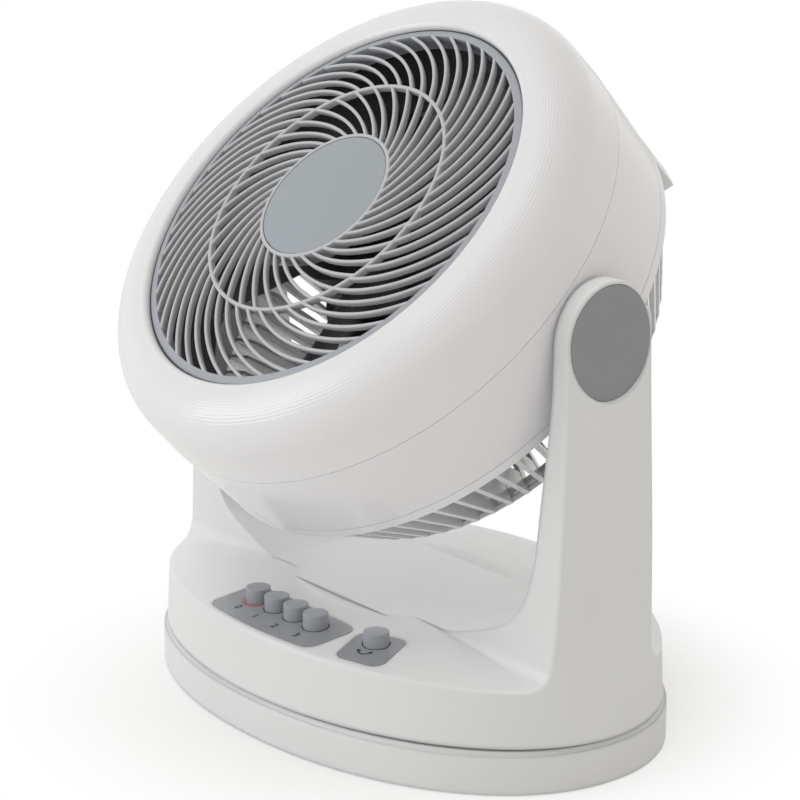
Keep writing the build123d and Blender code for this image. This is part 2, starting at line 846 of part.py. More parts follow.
# The red ring round the off button, standing just above its panel.
with BuildPart() as stop_ring:
    with BuildSketch(Plane.XY.offset(bowl_level - 2 * panel_reach)):
        with Locations(button_spots[0]):
            Circle(button_radius + button_gap + ring_width)
            Circle(button_radius + button_gap, mode=Mode.SUBTRACT)
    extrude(amount=3 * panel_reach)
    add(crown(-ring_proud), mode=Mode.INTERSECT)
    add(crown(panel_thickness), mode=Mode.SUBTRACT)
keep(stop_ring, "stop_ring")


# ---- Push buttons
def push_button(spot, top):
    """A round button with a soft top edge and a stem down to its switch."""
    with BuildPart() as button:
        with BuildSketch(Plane.XY.offset(button_bottom)):
            with Locations(spot):
                Circle(button_radius)
        extrude(amount=top - button_bottom)
        fillet(button.edges().group_by(Axis.Z)[-1], button_edge)
    return button


for i, spot in enumerate(button_spots):
    keep(push_button(spot, button_top), f"button_{i}")
keep(push_button(swing_button_spot, swing_button_top), "swing_button")


def switch_block(plane, width):
    """A switch body on its pillars with a rounded plunger guard left open above."""
    with BuildPart() as block:
        with BuildSketch(plane):
            Rectangle(width, switch_depth)
        extrude(amount=switch_height)
        chamfer(block.edges().filter_by(Axis.Z), switch_chamfer)
    return block


speed_switch_plane = Plane(origin=(0, button_y, switch_low))
swing_switch_plane = Plane(origin=(swing_button_x, swing_button_y, switch_low))
keep(switch_block(speed_switch_plane, 3 * button_pitch + 2 * switch_side), "speed_switch")
keep(switch_block(swing_switch_plane, 2 * switch_side), "swing_switch")


# ---- Pivots on both arms
def side_disc(side, radius, inner, near, far):
    """A disc or ring about the pivot's axis between two distances out from the middle."""
    with BuildPart() as disc:
        with BuildSketch(Plane.YZ.offset(side * near)):
            with Locations((0, pivot_height)):
                Circle(radius)
                if inner:
                    Circle(inner, mode=Mode.SUBTRACT)
        extrude(amount=side * (far - near))
    return disc.part


pivot_floor_x = arm_inner_x + arm_pivot_wall
boss_end_x = arm_inner_x - part_gap - friction_pad
pin_end_x = pivot_floor_x + part_gap
for side, name in ((1, "right"), (-1, "left")):
    with BuildPart() as cap:
        add(side_plug(side, 0, pivot_floor_x, cap_plane_x))
        outer_face = cap.faces().filter_by(Axis.X).sort_by(Axis.X)[-1 if side > 0 else 0]
        fillet(outer_face.edges(), cap_edge_radius)
        add(side_plug(side, -cap_wall, pivot_floor_x, cap_plane_x - cap_wall), mode=Mode.SUBTRACT)
    keep(cap, f"pivot_cap_{name}")

    with BuildPart() as trunnion:
        add(side_disc(side, pivot_boss_radius, 0, pivot_boss_x, boss_end_x))
        add(side_disc(side, pin_radius, 0, boss_end_x, pin_end_x))
        add(side_disc(side, screw_radius, 0, pivot_boss_x, pin_end_x), mode=Mode.SUBTRACT)
    keep(trunnion, f"trunnion_{name}")

    with BuildPart() as pad:
        add(side_disc(side, pivot_boss_radius, pin_radius, boss_end_x, boss_end_x + friction_pad))
    keep(pad, f"friction_washer_{name}")

    with BuildPart() as pivot_screw:
        add(side_disc(side, washer_radius, 0, pin_end_x, pin_end_x + washer_thickness))
        add(side_disc(side, pivot_screw_head, 0, pin_end_x + washer_thickness,
                      pin_end_x + washer_thickness + pivot_screw_height))
        add(side_disc(side, screw_radius, 0, pivot_boss_x + screw_head_height, pin_end_x))
    keep(pivot_screw, f"pivot_screw_{name}")


# ---- Front shell: annulus, rounded shoulder and the air duct behind the opening
def arc_middle(centre, across, along):
    """The halfway point of a quarter round about a centre."""
    return centre[0] + across * sqrt(0.5), centre[1] + along * sqrt(0.5)


def crest_height(radius):
    """The distance forward of the front shell's outer face at a radius."""
    run = max(radius - crest_radius, 0) / (shoulder_radius - crest_radius)
    return shoulder_s + (crest_s - shoulder_s) * sqrt(1 - run ** 2)


seam_front = seam_s + seam_gap / 2
seam_back = seam_s - seam_gap / 2
roll_centre = (crest_radius, shoulder_s)
lip_centre = (opening_radius + lip_radius, crest_s - lip_radius)
duct_outer = duct_radius + duct_wall
opening_outer = opening_radius + duct_wall
with BuildPart() as front_shell:
    with BuildSketch(head_section):
        with BuildLine():
            Line((shell_radius, seam_front), (shoulder_radius, shoulder_s))
            ThreePointArc((shoulder_radius, shoulder_s),
                          arc_middle(roll_centre, shoulder_radius - crest_radius, crest_s - shoulder_s),
                          (crest_radius, crest_s))
            Line((crest_radius, crest_s), (lip_centre[0], crest_s))
            ThreePointArc((lip_centre[0], crest_s), arc_middle(lip_centre, -lip_radius, lip_radius),
                          (opening_radius, lip_centre[1]))
            Polyline((opening_radius, lip_centre[1]), (opening_radius, grille_seat_s),
                     (duct_radius, grille_seat_s), (duct_radius, duct_back_s),
                     (duct_outer, duct_back_s), (duct_outer, grille_seat_s - duct_wall),
                     (opening_outer, grille_seat_s - duct_wall), (opening_outer, crest_s - shell_wall),
                     (crest_radius, crest_s - shell_wall))
            ThreePointArc((crest_radius, crest_s - shell_wall),
                          arc_middle(roll_centre, shoulder_radius - crest_radius - shell_wall,
                                     crest_s - shoulder_s - shell_wall),
                          (shoulder_radius - shell_wall, shoulder_s))
            Polyline((shoulder_radius - shell_wall, shoulder_s), (shell_radius - shell_wall, seam_front),
                     (shell_radius, seam_front))
        make_face()
    revolve(axis=fan_axis)
    groove_radii = [groove_first + groove_pitch * i for i in range(groove_count)]
    with BuildSketch(head_section):
        with Locations(*[(radius, crest_height(radius)) for radius in groove_radii]):
            Circle(groove_radius)
    revolve(axis=fan_axis, mode=Mode.SUBTRACT)
keep(front_shell, "front_shell")


# ---- Rear shell: the drum behind the seam, with a tongue, a ledge and the pivots' holes
def drum_radius(s):
    """The rear drum's outer radius, which tapers from the seam to the rear line."""
    return rear_line_radius + (shell_radius - rear_line_radius) * (s - rear_line_s) / (seam_s - rear_line_s)


ledge_top = ledge_s + ledge_thickness
tongue_outer = shell_radius - shell_wall - tongue_gap
tongue_inner = tongue_outer - tongue_wall
drum_end = rear_line_s + seam_gap / 2
with BuildPart() as rear_shell:
    add(turned([(drum_radius(seam_back), seam_back), (drum_radius(drum_end), drum_end),
                (drum_radius(drum_end) - shell_wall, drum_end), (drum_radius(ledge_s) - shell_wall, ledge_s),
                (rim_band_inner, ledge_s), (rim_band_inner, ledge_top),
                (drum_radius(ledge_top) - shell_wall, ledge_top),
                (drum_radius(seam_s - tongue_root) - shell_wall, seam_s - tongue_root),
                (tongue_inner, seam_s - tongue_root), (tongue_inner, seam_s + tongue_length),
                (tongue_outer, seam_s + tongue_length), (tongue_outer, seam_back)]))
    for side in (1, -1):
        add(side_disc(side, pivot_boss_radius + pivot_boss_gap, 0, duct_outer + shell_wall, arm_inner_x),
            mode=Mode.SUBTRACT)
    with BuildSketch(head_face.offset(ledge_s)):
        with Locations(*ring_spots(grille_screw_radius, grille_screw_radius, grille_screw_angles)):
            Circle(screw_radius)
    extrude(amount=ledge_thickness, mode=Mode.SUBTRACT)
keep(rear_shell, "rear_shell")

# ---- Front grille: two rows of curved blades on a hub, a middle ring and a rim
def inner_rib_angle(radius):
    """An inner rib turns as a spiral that crosses every radius at 45 degrees."""
    return inner_start_angle + degrees(log(radius / inner_start_radius))


def outer_rib_angle(radius):
    """An outer rib turns a little faster as it nears the rim."""
    run = radius - outer_start_radius
    return outer_start_angle + outer_turn * run + outer_turn_growth * run ** 2


def rib_face(angle_at, start, end):
    """The plan of one rib: a band of even width along its curve."""
    radii = [start + (end - start) * i / rib_steps for i in range(rib_steps + 1)]
    middle = [(r * cos(radians(angle_at(r))), r * sin(radians(angle_at(r)))) for r in radii]
    right, left = shifted(middle, rib_width / 2), shifted(middle, -rib_width / 2)
    with BuildSketch() as band:
        with BuildLine():
            Spline(*right)
            Line(right[-1], left[-1])
            Spline(*left)
            Line(left[0], right[0])
        make_face()
    return band.sketch


grille_rim_outer = opening_radius - grille_rim_gap
grille_rim_inner = grille_rim_outer - grille_rim_width
inner_rib = rib_face(inner_rib_angle, inner_start_radius, ring_middle_radius)
outer_rib = rib_face(outer_rib_angle, ring_middle_radius, grille_rim_inner + rib_width / 2)
dome = [(0, dome_base_s + dome_rise), (52.0, dome_base_s + dome_rise), (77.0, dome_base_s + 6.0),
        (95.0, dome_base_s + 4.25), (107.0, dome_base_s + 2.25), (grille_rim_outer, dome_base_s)]
badge_front = hub_disc_front - badge_drop
badge_back = badge_front - badge_thickness
with BuildPart() as front_grille:
    with BuildSketch(head_face.offset(grille_seat_s)):
        with PolarLocations(0, inner_ribs):
            add(inner_rib)
        with PolarLocations(0, outer_ribs):
            add(outer_rib)
        for inside, width in ((ring_middle_radius - grille_ring_width / 2, grille_ring_width),
                              (grille_rim_inner, grille_rim_width)):
            with BuildSketch(mode=Mode.PRIVATE) as ring:
                Circle(inside + width)
                Circle(inside, mode=Mode.SUBTRACT)
            add(ring.sketch)
    extrude(amount=hub_disc_front - grille_seat_s)
    with BuildSketch(head_section, mode=Mode.PRIVATE) as dome_face:
        with BuildLine():
            Line(dome[0], dome[1])
            Spline(*dome[1:], tangents=[(1, 0), (1, -0.2)])
            Polyline(dome[-1], (grille_rim_outer, grille_seat_s), (0, grille_seat_s), dome[0])
        make_face()
    revolve(dome_face.sketch, axis=fan_axis, mode=Mode.INTERSECT)
    add(head_tube(hub_disc_radius, 0, hub_disc_back, hub_disc_front))
    add(head_tube(badge_radius + badge_gap, 0, badge_back, hub_disc_front), mode=Mode.SUBTRACT)
keep(front_grille, "front_grille")

with BuildPart() as badge_disc:
    add(head_tube(badge_radius, 0, badge_back, badge_front))
    fillet(badge_disc.edges().sort_by(fan_axis)[-1], badge_edge)
keep(badge_disc, "badge_disc")


# ---- Rear grille: upright slats from the rim band to a flat back, hollowed under the handle
band_radius = drum_radius(drum_end)
under_handle = band_radius - handle_thickness - part_gap


def slat_plate(inner_radius, notched):
    """One slat, in the fan's own frame: x is the radius and z the distance forward."""
    slope = hypot(slat_top_radius - slat_bend_radius, rim_band_s - slat_bend_s)
    inward = slat_depth * (rim_band_s - slat_bend_s) / slope
    forward = slat_depth * (slat_top_radius - slat_bend_radius) / slope
    back_inside = rear_face_s + rear_face_depth
    flat = [(rear_flat_radius, rear_face_s), (inner_radius, rear_face_s), (inner_radius, back_inside)]
    root = rear_line_s - seam_gap
    if notched:
        outline = [(slat_top_radius, root), (slat_top_radius, rim_band_s), (under_handle, rim_band_s),
                   (under_handle, rim_band_s - notch_drop), (notch_radius, rim_band_s - notch_drop),
                   (notch_radius, slat_bend_s)] + flat
        outline += [(notch_radius - slat_depth, back_inside), (notch_radius - slat_depth, root)]
    else:
        outline = [(slat_top_radius, root), (slat_top_radius, rim_band_s), (slat_bend_radius, slat_bend_s)]
        outline += flat + [(slat_bend_radius - inward, slat_bend_s + forward),
                           (slat_top_radius - inward, rim_band_s + forward)]
    with BuildPart() as plate:
        with BuildSketch(Plane.XZ):
            with BuildLine():
                Polyline(*outline, close=True)
            make_face()
        extrude(amount=slat_thickness / 2, both=True)
    return plate.part


def slat_turns(notched, long):
    """The turns of the slats of one kind; long and short ones alternate."""
    step = 360 / rear_slats
    turns = [(step * (i + 0.5), i % 2 == 0) for i in range(rear_slats)]
    return [head_turn(turn) for turn, is_long in turns
            if is_long == long and (abs(turn - 90) < notch_half_angle) == notched]


band_top = rear_line_s - seam_gap / 2
rear_inside_s = rear_face_s + rear_face_depth
grille_screw_spots = ring_spots(grille_screw_radius, grille_screw_radius, grille_screw_angles)
motor_screw_spots = ring_spots(standoff_ring, standoff_ring, range(45, 360, 90))
with BuildPart() as rear_grille:
    add(turned([(band_radius, band_top), (band_radius, rim_band_s), (rim_band_inner, rim_band_s),
                (rim_band_inner, ledge_s), (drum_radius(drum_end) - shell_wall - tongue_gap, ledge_s),
                (drum_radius(drum_end) - shell_wall - tongue_gap, band_top)]))
    for notched in (False, True):
        for long in (True, False):
            with Locations(*slat_turns(notched, long)):
                add(slat_plate(rear_plate_radius - 1 if long else short_slat_radius, notched))
    for radius in rear_ring_radii:
        add(head_tube(radius + rear_ring_width / 2, radius - rear_ring_width / 2, rear_face_s, rear_inside_s))
    add(head_tube(rear_plate_radius, 0, rear_face_s, rear_inside_s))
    for side in (1, -1):
        add(side_disc(side, pivot_boss_radius + pivot_boss_gap, 0, duct_outer, arm_inner_x),
            mode=Mode.SUBTRACT)
    for spots, low, high in ((grille_screw_spots, rim_band_s, ledge_s),
                             (motor_screw_spots, rear_face_s, rear_inside_s)):
        with BuildSketch(head_face.offset(low)):
            with Locations(*spots):
                Circle(screw_radius)
        extrude(amount=high - low, mode=Mode.SUBTRACT)
        with BuildSketch(head_face.offset(low)):
            with Locations(*spots):
                Circle(screw_head_radius)
        extrude(amount=screw_head_height, mode=Mode.SUBTRACT)
keep(rear_grille, "rear_grille")


def section_at(turn):
    """The half plane through the fan's axis at this turn from the right toward the top."""
    across = Vector(1, 0, 0) * cos(radians(turn)) + Vector(*fan_up) * sin(radians(turn))
    return Plane(origin=pivot_point, x_dir=across, z_dir=across.cross(Vector(*fan_normal)))


# ---- Carry handle: a lip that continues the drum behind the rim band
with BuildPart() as carry_handle:
    with BuildSketch(section_at(90 - handle_half_angle)) as bar:
        with Locations((band_radius - handle_thickness / 2, rim_band_s - handle_length / 2)):
            Rectangle(handle_thickness, handle_length)
        fillet(bar.vertices().sort_by(Axis.Y)[:2].sort_by(Axis.X)[0], handle_edge)
    revolve(axis=fan_axis, revolution_arc=2 * handle_half_angle)
keep(carry_handle, "carry_handle")

backward = Plane(origin=pivot_point, x_dir=(1, 0, 0), z_dir=tuple(-v for v in fan_normal))
with BuildPart() as grille_screws:
    add(screws(backward.offset(-rim_band_s), [(x, -y) for x, y in grille_screw_spots],
               ledge_top - rim_band_s))
keep(grille_screws, "grille_screws")

with BuildPart() as motor_screws:
    add(screws(backward.offset(-rear_face_s), [(x, -y) for x, y in motor_screw_spots],
               rear_face_depth + screw_bite))
keep(motor_screws, "motor_screws")


# ---- Motor
bracket_inner = bracket_radius - bracket_wall
with BuildPart() as motor_front_bracket:
    add(turned([(bracket_radius, bracket_split), (bracket_radius, bracket_front),
                (bearing_radius, bracket_front), (bearing_radius, bracket_front - bearing_length),
                (bearing_radius + bracket_wall, bracket_front - bearing_length),
                (bearing_radius + bracket_wall, bracket_front - bracket_wall),
                (bracket_inner, bracket_front - bracket_wall), (bracket_inner, bracket_split)]))
keep(motor_front_bracket, "motor_front_bracket")

with BuildPart() as motor_rear_bracket:
    add(turned([(bracket_radius, bracket_split), (bracket_radius, bracket_back),
                (bearing_radius, bracket_back), (bearing_radius, bracket_back + bearing_length),
                (bearing_radius + bracket_wall, bracket_back + bearing_length),
                (bearing_radius + bracket_wall, bracket_back + bracket_wall),
                (bracket_inner, bracket_back + bracket_wall), (bracket_inner, bracket_split)]))
    with BuildSketch(head_face.offset(rear_inside_s)):
        with Locations(*motor_screw_spots):
            Circle(standoff_radius)
    extrude(amount=bracket_back - rear_inside_s)
    with BuildSketch(head_face.offset(rear_inside_s)):
        with Locations(*motor_screw_spots):
            Circle(screw_radius)
    extrude(amount=screw_bite, mode=Mode.SUBTRACT)
keep(motor_rear_bracket, "motor_rear_bracket")

with BuildPart() as motor_bearings:
    for low in (bracket_back, bracket_front - bearing_length):
        add(head_tube(bearing_radius, shaft_radius + running_clearance, low, low + bearing_length))
keep(motor_bearings, "motor_bearings")

with BuildPart() as stator_core:
    add(head_tube(bracket_inner, rotor_radius + air_gap, stator_back, stator_front))
keep(stator_core, "stator_core")

with BuildPart() as stator_windings:
    for low in (stator_back - winding_reach, stator_front):
        add(head_tube(bracket_inner - bracket_wall, rotor_radius + bracket_wall, low, low + winding_reach))
keep(stator_windings, "stator_windings")

with BuildPart() as rotor_core:
    add(head_tube(rotor_radius, shaft_radius, stator_back, stator_front))
keep(rotor_core, "rotor_core")

with BuildPart() as motor_shaft:
    add(head_tube(shaft_radius, 0, shaft_back, shaft_front))
    chamfer(motor_shaft.edges().sort_by(fan_axis)[-1], shaft_chamfer)
keep(motor_shaft, "motor_shaft")


# ---- Fan wheel
def blade():
    """One blade in the fan's own frame, lofted outward through four thin curved sections."""
    with BuildPart() as solid:
        for radius, chord, pitch, sweep_back in blade_stations:
            lean, mid = radians(pitch), (fan_hub_back + fan_hub_front) / 2
            along, across = (cos(lean), sin(lean)), (-sin(lean), cos(lean))
            ends = [(sweep_back + k * chord / 2 * along[0], k * chord / 2 * along[1]) for k in (-1, 1)]
            crowns = [(sweep_back + across[0] * rise, across[1] * rise)
                      for rise in (chord * blade_camber + blade_thickness / 2,
                                   chord * blade_camber - blade_thickness / 2)]
            with BuildSketch(Plane(origin=(radius, 0, mid), x_dir=(0, 1, 0), z_dir=(1, 0, 0))):
                with BuildLine():
                    ThreePointArc(ends[0], crowns[0], ends[1])
                    ThreePointArc(ends[1], crowns[1], ends[0])
                make_face()
        loft()
    return solid.part


with BuildPart() as fan_wheel:
    with Locations(*[head_turn(360 / fan_blades * i) for i in range(fan_blades)]):
        add(blade())
    add(head_tube(fan_tip_radius, fan_hub_radius - fan_hub_wall / 2, fan_hub_back, fan_hub_front),
        mode=Mode.INTERSECT)
    add(turned([(fan_hub_radius, fan_hub_back), (fan_hub_radius, fan_hub_front),
                (shaft_radius, fan_hub_front), (shaft_radius, fan_boss_back),
                (fan_boss_radius, fan_boss_back), (fan_boss_radius, fan_hub_front - fan_hub_wall),
                (fan_hub_radius - fan_hub_wall, fan_hub_front - fan_hub_wall),
                (fan_hub_radius - fan_hub_wall, fan_hub_back)]))
keep(fan_wheel, "fan_wheel")

with BuildPart() as fan_nut:
    add(head_tube(nut_radius, 0, fan_hub_front, fan_hub_front + nut_height))
    fillet(fan_nut.edges().sort_by(fan_axis)[-1], nut_edge)
    add(head_tube(shaft_radius, 0, fan_hub_front, shaft_front), mode=Mode.SUBTRACT)
keep(fan_nut, "fan_nut")
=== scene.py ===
import json
import math

import bmesh
import bpy
import numpy as np
from bpy.props import FloatProperty, FloatVectorProperty, IntProperty, PointerProperty
from mathutils import Matrix, Vector

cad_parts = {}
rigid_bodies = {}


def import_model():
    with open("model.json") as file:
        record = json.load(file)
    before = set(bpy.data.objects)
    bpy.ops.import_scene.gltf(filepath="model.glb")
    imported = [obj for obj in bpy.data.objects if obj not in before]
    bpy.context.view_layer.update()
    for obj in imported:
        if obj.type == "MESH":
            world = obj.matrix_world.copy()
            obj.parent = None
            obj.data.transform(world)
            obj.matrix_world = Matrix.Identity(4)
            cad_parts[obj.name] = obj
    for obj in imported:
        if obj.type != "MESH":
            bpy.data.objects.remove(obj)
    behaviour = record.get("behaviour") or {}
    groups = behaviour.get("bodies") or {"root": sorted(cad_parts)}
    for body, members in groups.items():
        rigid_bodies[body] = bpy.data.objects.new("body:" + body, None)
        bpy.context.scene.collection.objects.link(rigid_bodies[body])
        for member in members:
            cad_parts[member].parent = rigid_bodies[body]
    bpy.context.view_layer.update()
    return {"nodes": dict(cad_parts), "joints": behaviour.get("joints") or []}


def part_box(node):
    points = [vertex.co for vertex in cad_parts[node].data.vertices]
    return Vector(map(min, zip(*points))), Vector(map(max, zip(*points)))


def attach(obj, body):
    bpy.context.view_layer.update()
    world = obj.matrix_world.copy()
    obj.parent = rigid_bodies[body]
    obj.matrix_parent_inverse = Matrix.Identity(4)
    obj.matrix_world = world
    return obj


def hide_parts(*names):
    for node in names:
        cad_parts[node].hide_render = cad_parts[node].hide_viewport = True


bl_info = {
    "name": "Air circulator dressing",
    "version": (1, 0, 0),
    "blender": (4, 5, 0),
    "location": "View3D > Sidebar > Circulator",
    "description": "Gives the packed air circulator its blades, finishes, marks and studio",
    "category": "Object",
}

# ---- The packed frame
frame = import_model()
JOINTS = {joint["name"]: joint for joint in frame["joints"]}
MM = 0.001
RIGHT = np.array([1.0, 0.0, 0.0])
PIVOT = np.array(JOINTS["tilt"]["pos_m"], float)
FORWARD = np.array(JOINTS["fan_spin"]["axis"], float)
FORWARD /= np.linalg.norm(FORWARD)
TOPWARD = np.cross(FORWARD, RIGHT)

# ---- Parts that a full turn is cut into
SHELL_TURN = 360
SHADE_SHEET_TURN = 180
GRILLE_TURN = 288
HUB_TURN = 192
EDGE_TURN = 216
BASE_TURN = 288
BUTTON_TURN = 72


def length(name, description, millimetres):
    """A length that a user may change, given here in millimetres."""
    return FloatProperty(name=name, description=description, default=millimetres * MM, min=0.0,
                         unit="LENGTH", subtype="DISTANCE", precision=5)


def tone(name, description, red, green, blue):
    """A surface colour, given here as the eye reads it from 0 to 255."""
    def linear(level):
        share = level / 255
        return share / 12.92 if share <= 0.04045 else ((share + 0.055) / 1.055) ** 2.4
    return FloatVectorProperty(name=name, description=description, subtype="COLOR", size=3,
                               min=0.0, max=1.0,
                               default=[linear(level) for level in (red, green, blue)])


def number(name, description, default):
    """A plain number that a user may change."""
    return FloatProperty(name=name, description=description, default=default)


def count(name, description, default):
    """A whole number that a user may change."""
    return IntProperty(name=name, description=description, default=default, min=1)


class CirculatorFinish(bpy.types.PropertyGroup):
    """Colours of the circulator's surfaces"""
    shell: tone("Shell", "Glossy white of the fan's drum and rear", 226, 226, 229)
    body: tone("Body", "Satin white of the base and the yoke", 218, 219, 220)
    panel: tone("Panel", "Glossy grey of the control panels", 138, 141, 145)
    cap: tone("Cap", "Satin grey of the pivot caps", 140, 141, 146)
    button: tone("Button", "Satin grey of the push buttons", 152, 155, 162)
    grille: tone("Grille", "Pale grey of the front grille", 186, 187, 191)
    # The rim's mid grey is painted shade: a darker copy of the grille's grey for the rim that lies
    # in shadow.
    rim: tone("Rim", "Mid grey of the grille's rim", 160, 164, 171)
    badge: tone("Badge", "Flat grey of the bare badge", 153, 160, 166)
    # The fan's dark grey is painted shade: it stands for the shade the wheel lies in behind the
    # grille.
    fan: tone("Fan", "Dark grey of the fan wheel", 50, 52, 56)
    # The duct's dark grey is painted shade: it stands for the shade deep inside the air duct.
    duct: tone("Duct", "Dark grey inside the air duct", 52, 54, 58)
    stop: tone("Stop ring", "Red of the ring round the off button", 205, 70, 60)
    # This near black serves real print, the digits and the arrow, and also the painted shadow rings
    # round the buttons.
    mark: tone("Mark", "Near black of the digits and the arrow", 34, 34, 38)
    rubber: tone("Rubber", "Dark grey of the foot ring", 58, 58, 60)


class CirculatorShell(bpy.types.PropertyGroup):
    """Sizes of the front shell"""
    seam: length("Seam", "Distance of the seam in front of the pivot", 32.75)
    outer: length("Outer radius", "Radius at the seam", 150.3)
    shoulder_radius: length("Shoulder radius", "Radius where the roll-over starts", 149.6)
    shoulder: length("Shoulder", "Distance of the shoulder in front of the pivot", 53.5)
    crest_radius: length("Crest radius", "Radius where the roll-over ends", 125.6)
    crest: length("Crest", "Distance of the flat annulus in front of the pivot", 77.3)
    opening: length("Opening radius", "Radius of the opening for the grille", 118.7)
    lip: length("Lip radius", "Rounding of the opening's edge", 3.0)
    wall: length("Wall", "Thickness of the shell", 2.6)
    seat: length("Grille seat", "Distance of the grille's seat in front of the pivot", 64.3)
    duct: length("Duct radius", "Inner radius of the air duct", 115.5)
    duct_back: length("Duct back", "Distance of the duct's rear end in front of the pivot", 18.0)
    grooves: count("Grooves", "Number of fine grooves round the annulus", 13)
    groove_first: length("First groove", "Radius of the innermost groove", 122.6)
    groove_pitch: length("Groove pitch", "Distance between neighbouring grooves", 1.5)
    groove_depth: length("Groove depth", "Depth of each groove", 0.12)
    groove_width: length("Groove width", "Half width of each groove", 0.3)
    # The lining is a thin sheet of painted shade laid inside the duct.
    liner: length("Liner", "Thickness of the dark lining of the duct", 0.3)


class CirculatorGrille(bpy.types.PropertyGroup):
    """Sizes of the front grille"""
    back: length("Back", "Distance of the rim's back in front of the pivot", 64.3)
    blade_depth: length("Blade depth", "Depth of a blade and of the ring between the rows", 4.0)
    blade_width: length("Blade width", "Width of a blade across its rounded top", 2.0)
    blade_foot: length("Blade foot", "Width of a blade at its back edge", 1.0)
    inner_blades: count("Inner blades", "Number of blades in the inner row", 36)
    outer_blades: count("Outer blades", "Number of blades in the outer row", 48)
    hub: length("Hub radius", "Radius of the ring round the badge", 41.2)
    hub_front: length("Hub front", "Distance of the hub ring in front of the pivot", 80.2)
    hub_back: length("Hub back", "Distance of the hub's rear in front of the pivot", 72.0)
    recess: length("Recess radius", "Radius of the badge's recess", 39.1)
    recess_floor: length("Recess floor", "Distance of the recess floor in front of the pivot", 77.6)
    badge: length("Badge radius", "Radius of the bare badge", 38.8)
    badge_front: length("Badge front", "Distance of the badge's face in front of the pivot", 79.9)
    middle: length("Middle ring radius", "Radius of the ring between the rows", 74.3)
    middle_width: length("Middle ring width", "Width of the ring between the rows", 2.2)
    rim_outer: length("Rim radius", "Outer radius of the rim", 117.8)
    rim_width: length("Rim width", "Width of the rim", 4.6)
    # The dark line round the rim is a painted shadow: a thin dark ring for the shade between the
    # rim and the shell's lip.
    gap_outer: length("Gap radius", "Outer radius of the dark line round the rim", 118.65)
    gap_depth: length("Gap depth", "How far the dark line lies below the rim", 0.5)
    dome: length("Dome base", "Distance of the dome's edge in front of the pivot", 73.7)


class CirculatorRear(bpy.types.PropertyGroup):
    """Sizes of the webs behind the drum"""
    slats: count("Slats", "Number of slats round the rear grille", 72)
    web_width: length("Web width", "Thickness of a slat's web", 2.2)
    web_depth: length("Web depth", "How far a web reaches in from its slat", 11.0)
    web_front: length("Web front", "Distance of the webs' front ends behind the pivot", 18.0)
    slat_front_radius: length("Front radius", "Radius of the slats' inner edges in front", 141.0)
    slat_back_radius: length("Back radius", "Radius of the slats' inner edges at the bend", 116.0)
    bend: length("Bend", "Distance of the slats' bend behind the pivot", 66.0)
    face: length("Face", "Distance of the flat back behind the pivot", 71.0)
    edge_outer: length("Edge outer", "Outer radius of the ring that ties the slats", 120.6)
    edge_inner: length("Edge inner", "Outer radius of the flat back", 115.0)


class CirculatorBase(bpy.types.PropertyGroup):
    """Sizes of the base's skin"""
    half_width: length("Half width", "Half of the base from side to side", 172.0)
    half_depth: length("Half depth", "Half of the base from front to back", 112.7)
    fullness: number("Fullness", "Power of the oval: 2 is an ellipse, more is squarer", 2.1)
    lift: length("Lift", "Height of the base's lower edge", 0.5)
    wall: length("Base wall", "Thickness of the base's wall", 2.5)
    collar_height: length("Collar height", "Height of the set-back band below the yoke", 2.6)
    collar_inset: length("Collar inset", "How far the band is set back", 1.8)
    top_width: length("Top width", "Width of the base's flat top", 60.0)
    edge: length("Base edge", "Rounding of the base's edges", 1.2)


class CirculatorControls(bpy.types.PropertyGroup):
    """Sizes of the buttons and their marks"""
    button_radius: length("Button radius", "Radius of a push button", 6.9)
    button_edge: length("Button edge", "Rounding of a button's top edge", 0.7)
    button_dome: length("Button dome", "Rise of a button's top to its middle", 0.25)
    button_rise: length("Button rise", "How far a button stands above its solid", 1.2)
    # The dark gap round a button is a painted shadow: a flat dark ring for the shade in the gap
    # round the key.
    button_gap: length("Button gap", "Width of the dark gap round a button", 0.65)
    button_play: length("Button play", "Clearance between a button and the dark gap's mark", 0.05)
    digit_height: length("Digit height", "Height of the digits", 4.7)
    mark_thickness: length("Mark thickness", "How far a printed mark stands up", 0.06)
    arrow_radius: length("Arrow radius", "Radius of the swing arrow's arc", 3.5)
    arrow_width: length("Arrow width", "Line width of the swing arrow", 0.95)
    arrow_sweep: number("Arrow sweep", "Degrees of the swing arrow's arc", 140.0)
    arrow_lean: number("Arrow lean", "Degrees that the swing arrow is turned", 22.0)
    arrow_across: length("Arrow across", "Distance of the arrow's middle to the right", 68.6)
    arrow_forward: length("Arrow forward", "Distance of the arrow's middle to the front", 82.0)


class CirculatorStage(bpy.types.PropertyGroup):
    """Floor, lights and camera"""
    floor: tone("Floor", "Pale floor", 253, 253, 253)
    key: number("Key light", "Strength of the front light", 18.7)
    top: number("Top light", "Strength of the light overhead", 7.0)
    deck: number("Deck light", "Strength of the soft light that reaches under the head", 16.0)
    sky: number("Room light", "Strength of the room's even light", 0.72)
    azimuth: number("Azimuth", "Degrees that the camera stands round from the front", 51.46)
    elevation: number("Elevation", "Degrees that the camera looks down", 15.27)
    roll: number("Roll", "Degrees that the camera leans", 0.18)
    distance: length("Distance", "Distance of the camera from its target", 1411.4)
    lens: number("Lens", "Focal length on a 36 mm wide sensor", 115.59)
    target_height: length("Target height", "Height of the point looked at", 167.47)
    target_shift: FloatProperty(name="Target shift", default=-3.58 * MM, unit="LENGTH",
                                description="Sideways shift of the point looked at",
                                subtype="DISTANCE", precision=5)


# ---- Surfaces from arrays
def head_points(across, topward, forward):
    """Points given in the head's own frame: pivot + across X + topward W + forward N."""
    across, topward, forward = np.broadcast_arrays(across, topward, forward)
    return (PIVOT + across[..., None] * RIGHT + topward[..., None] * TOPWARD
            + forward[..., None] * FORWARD)


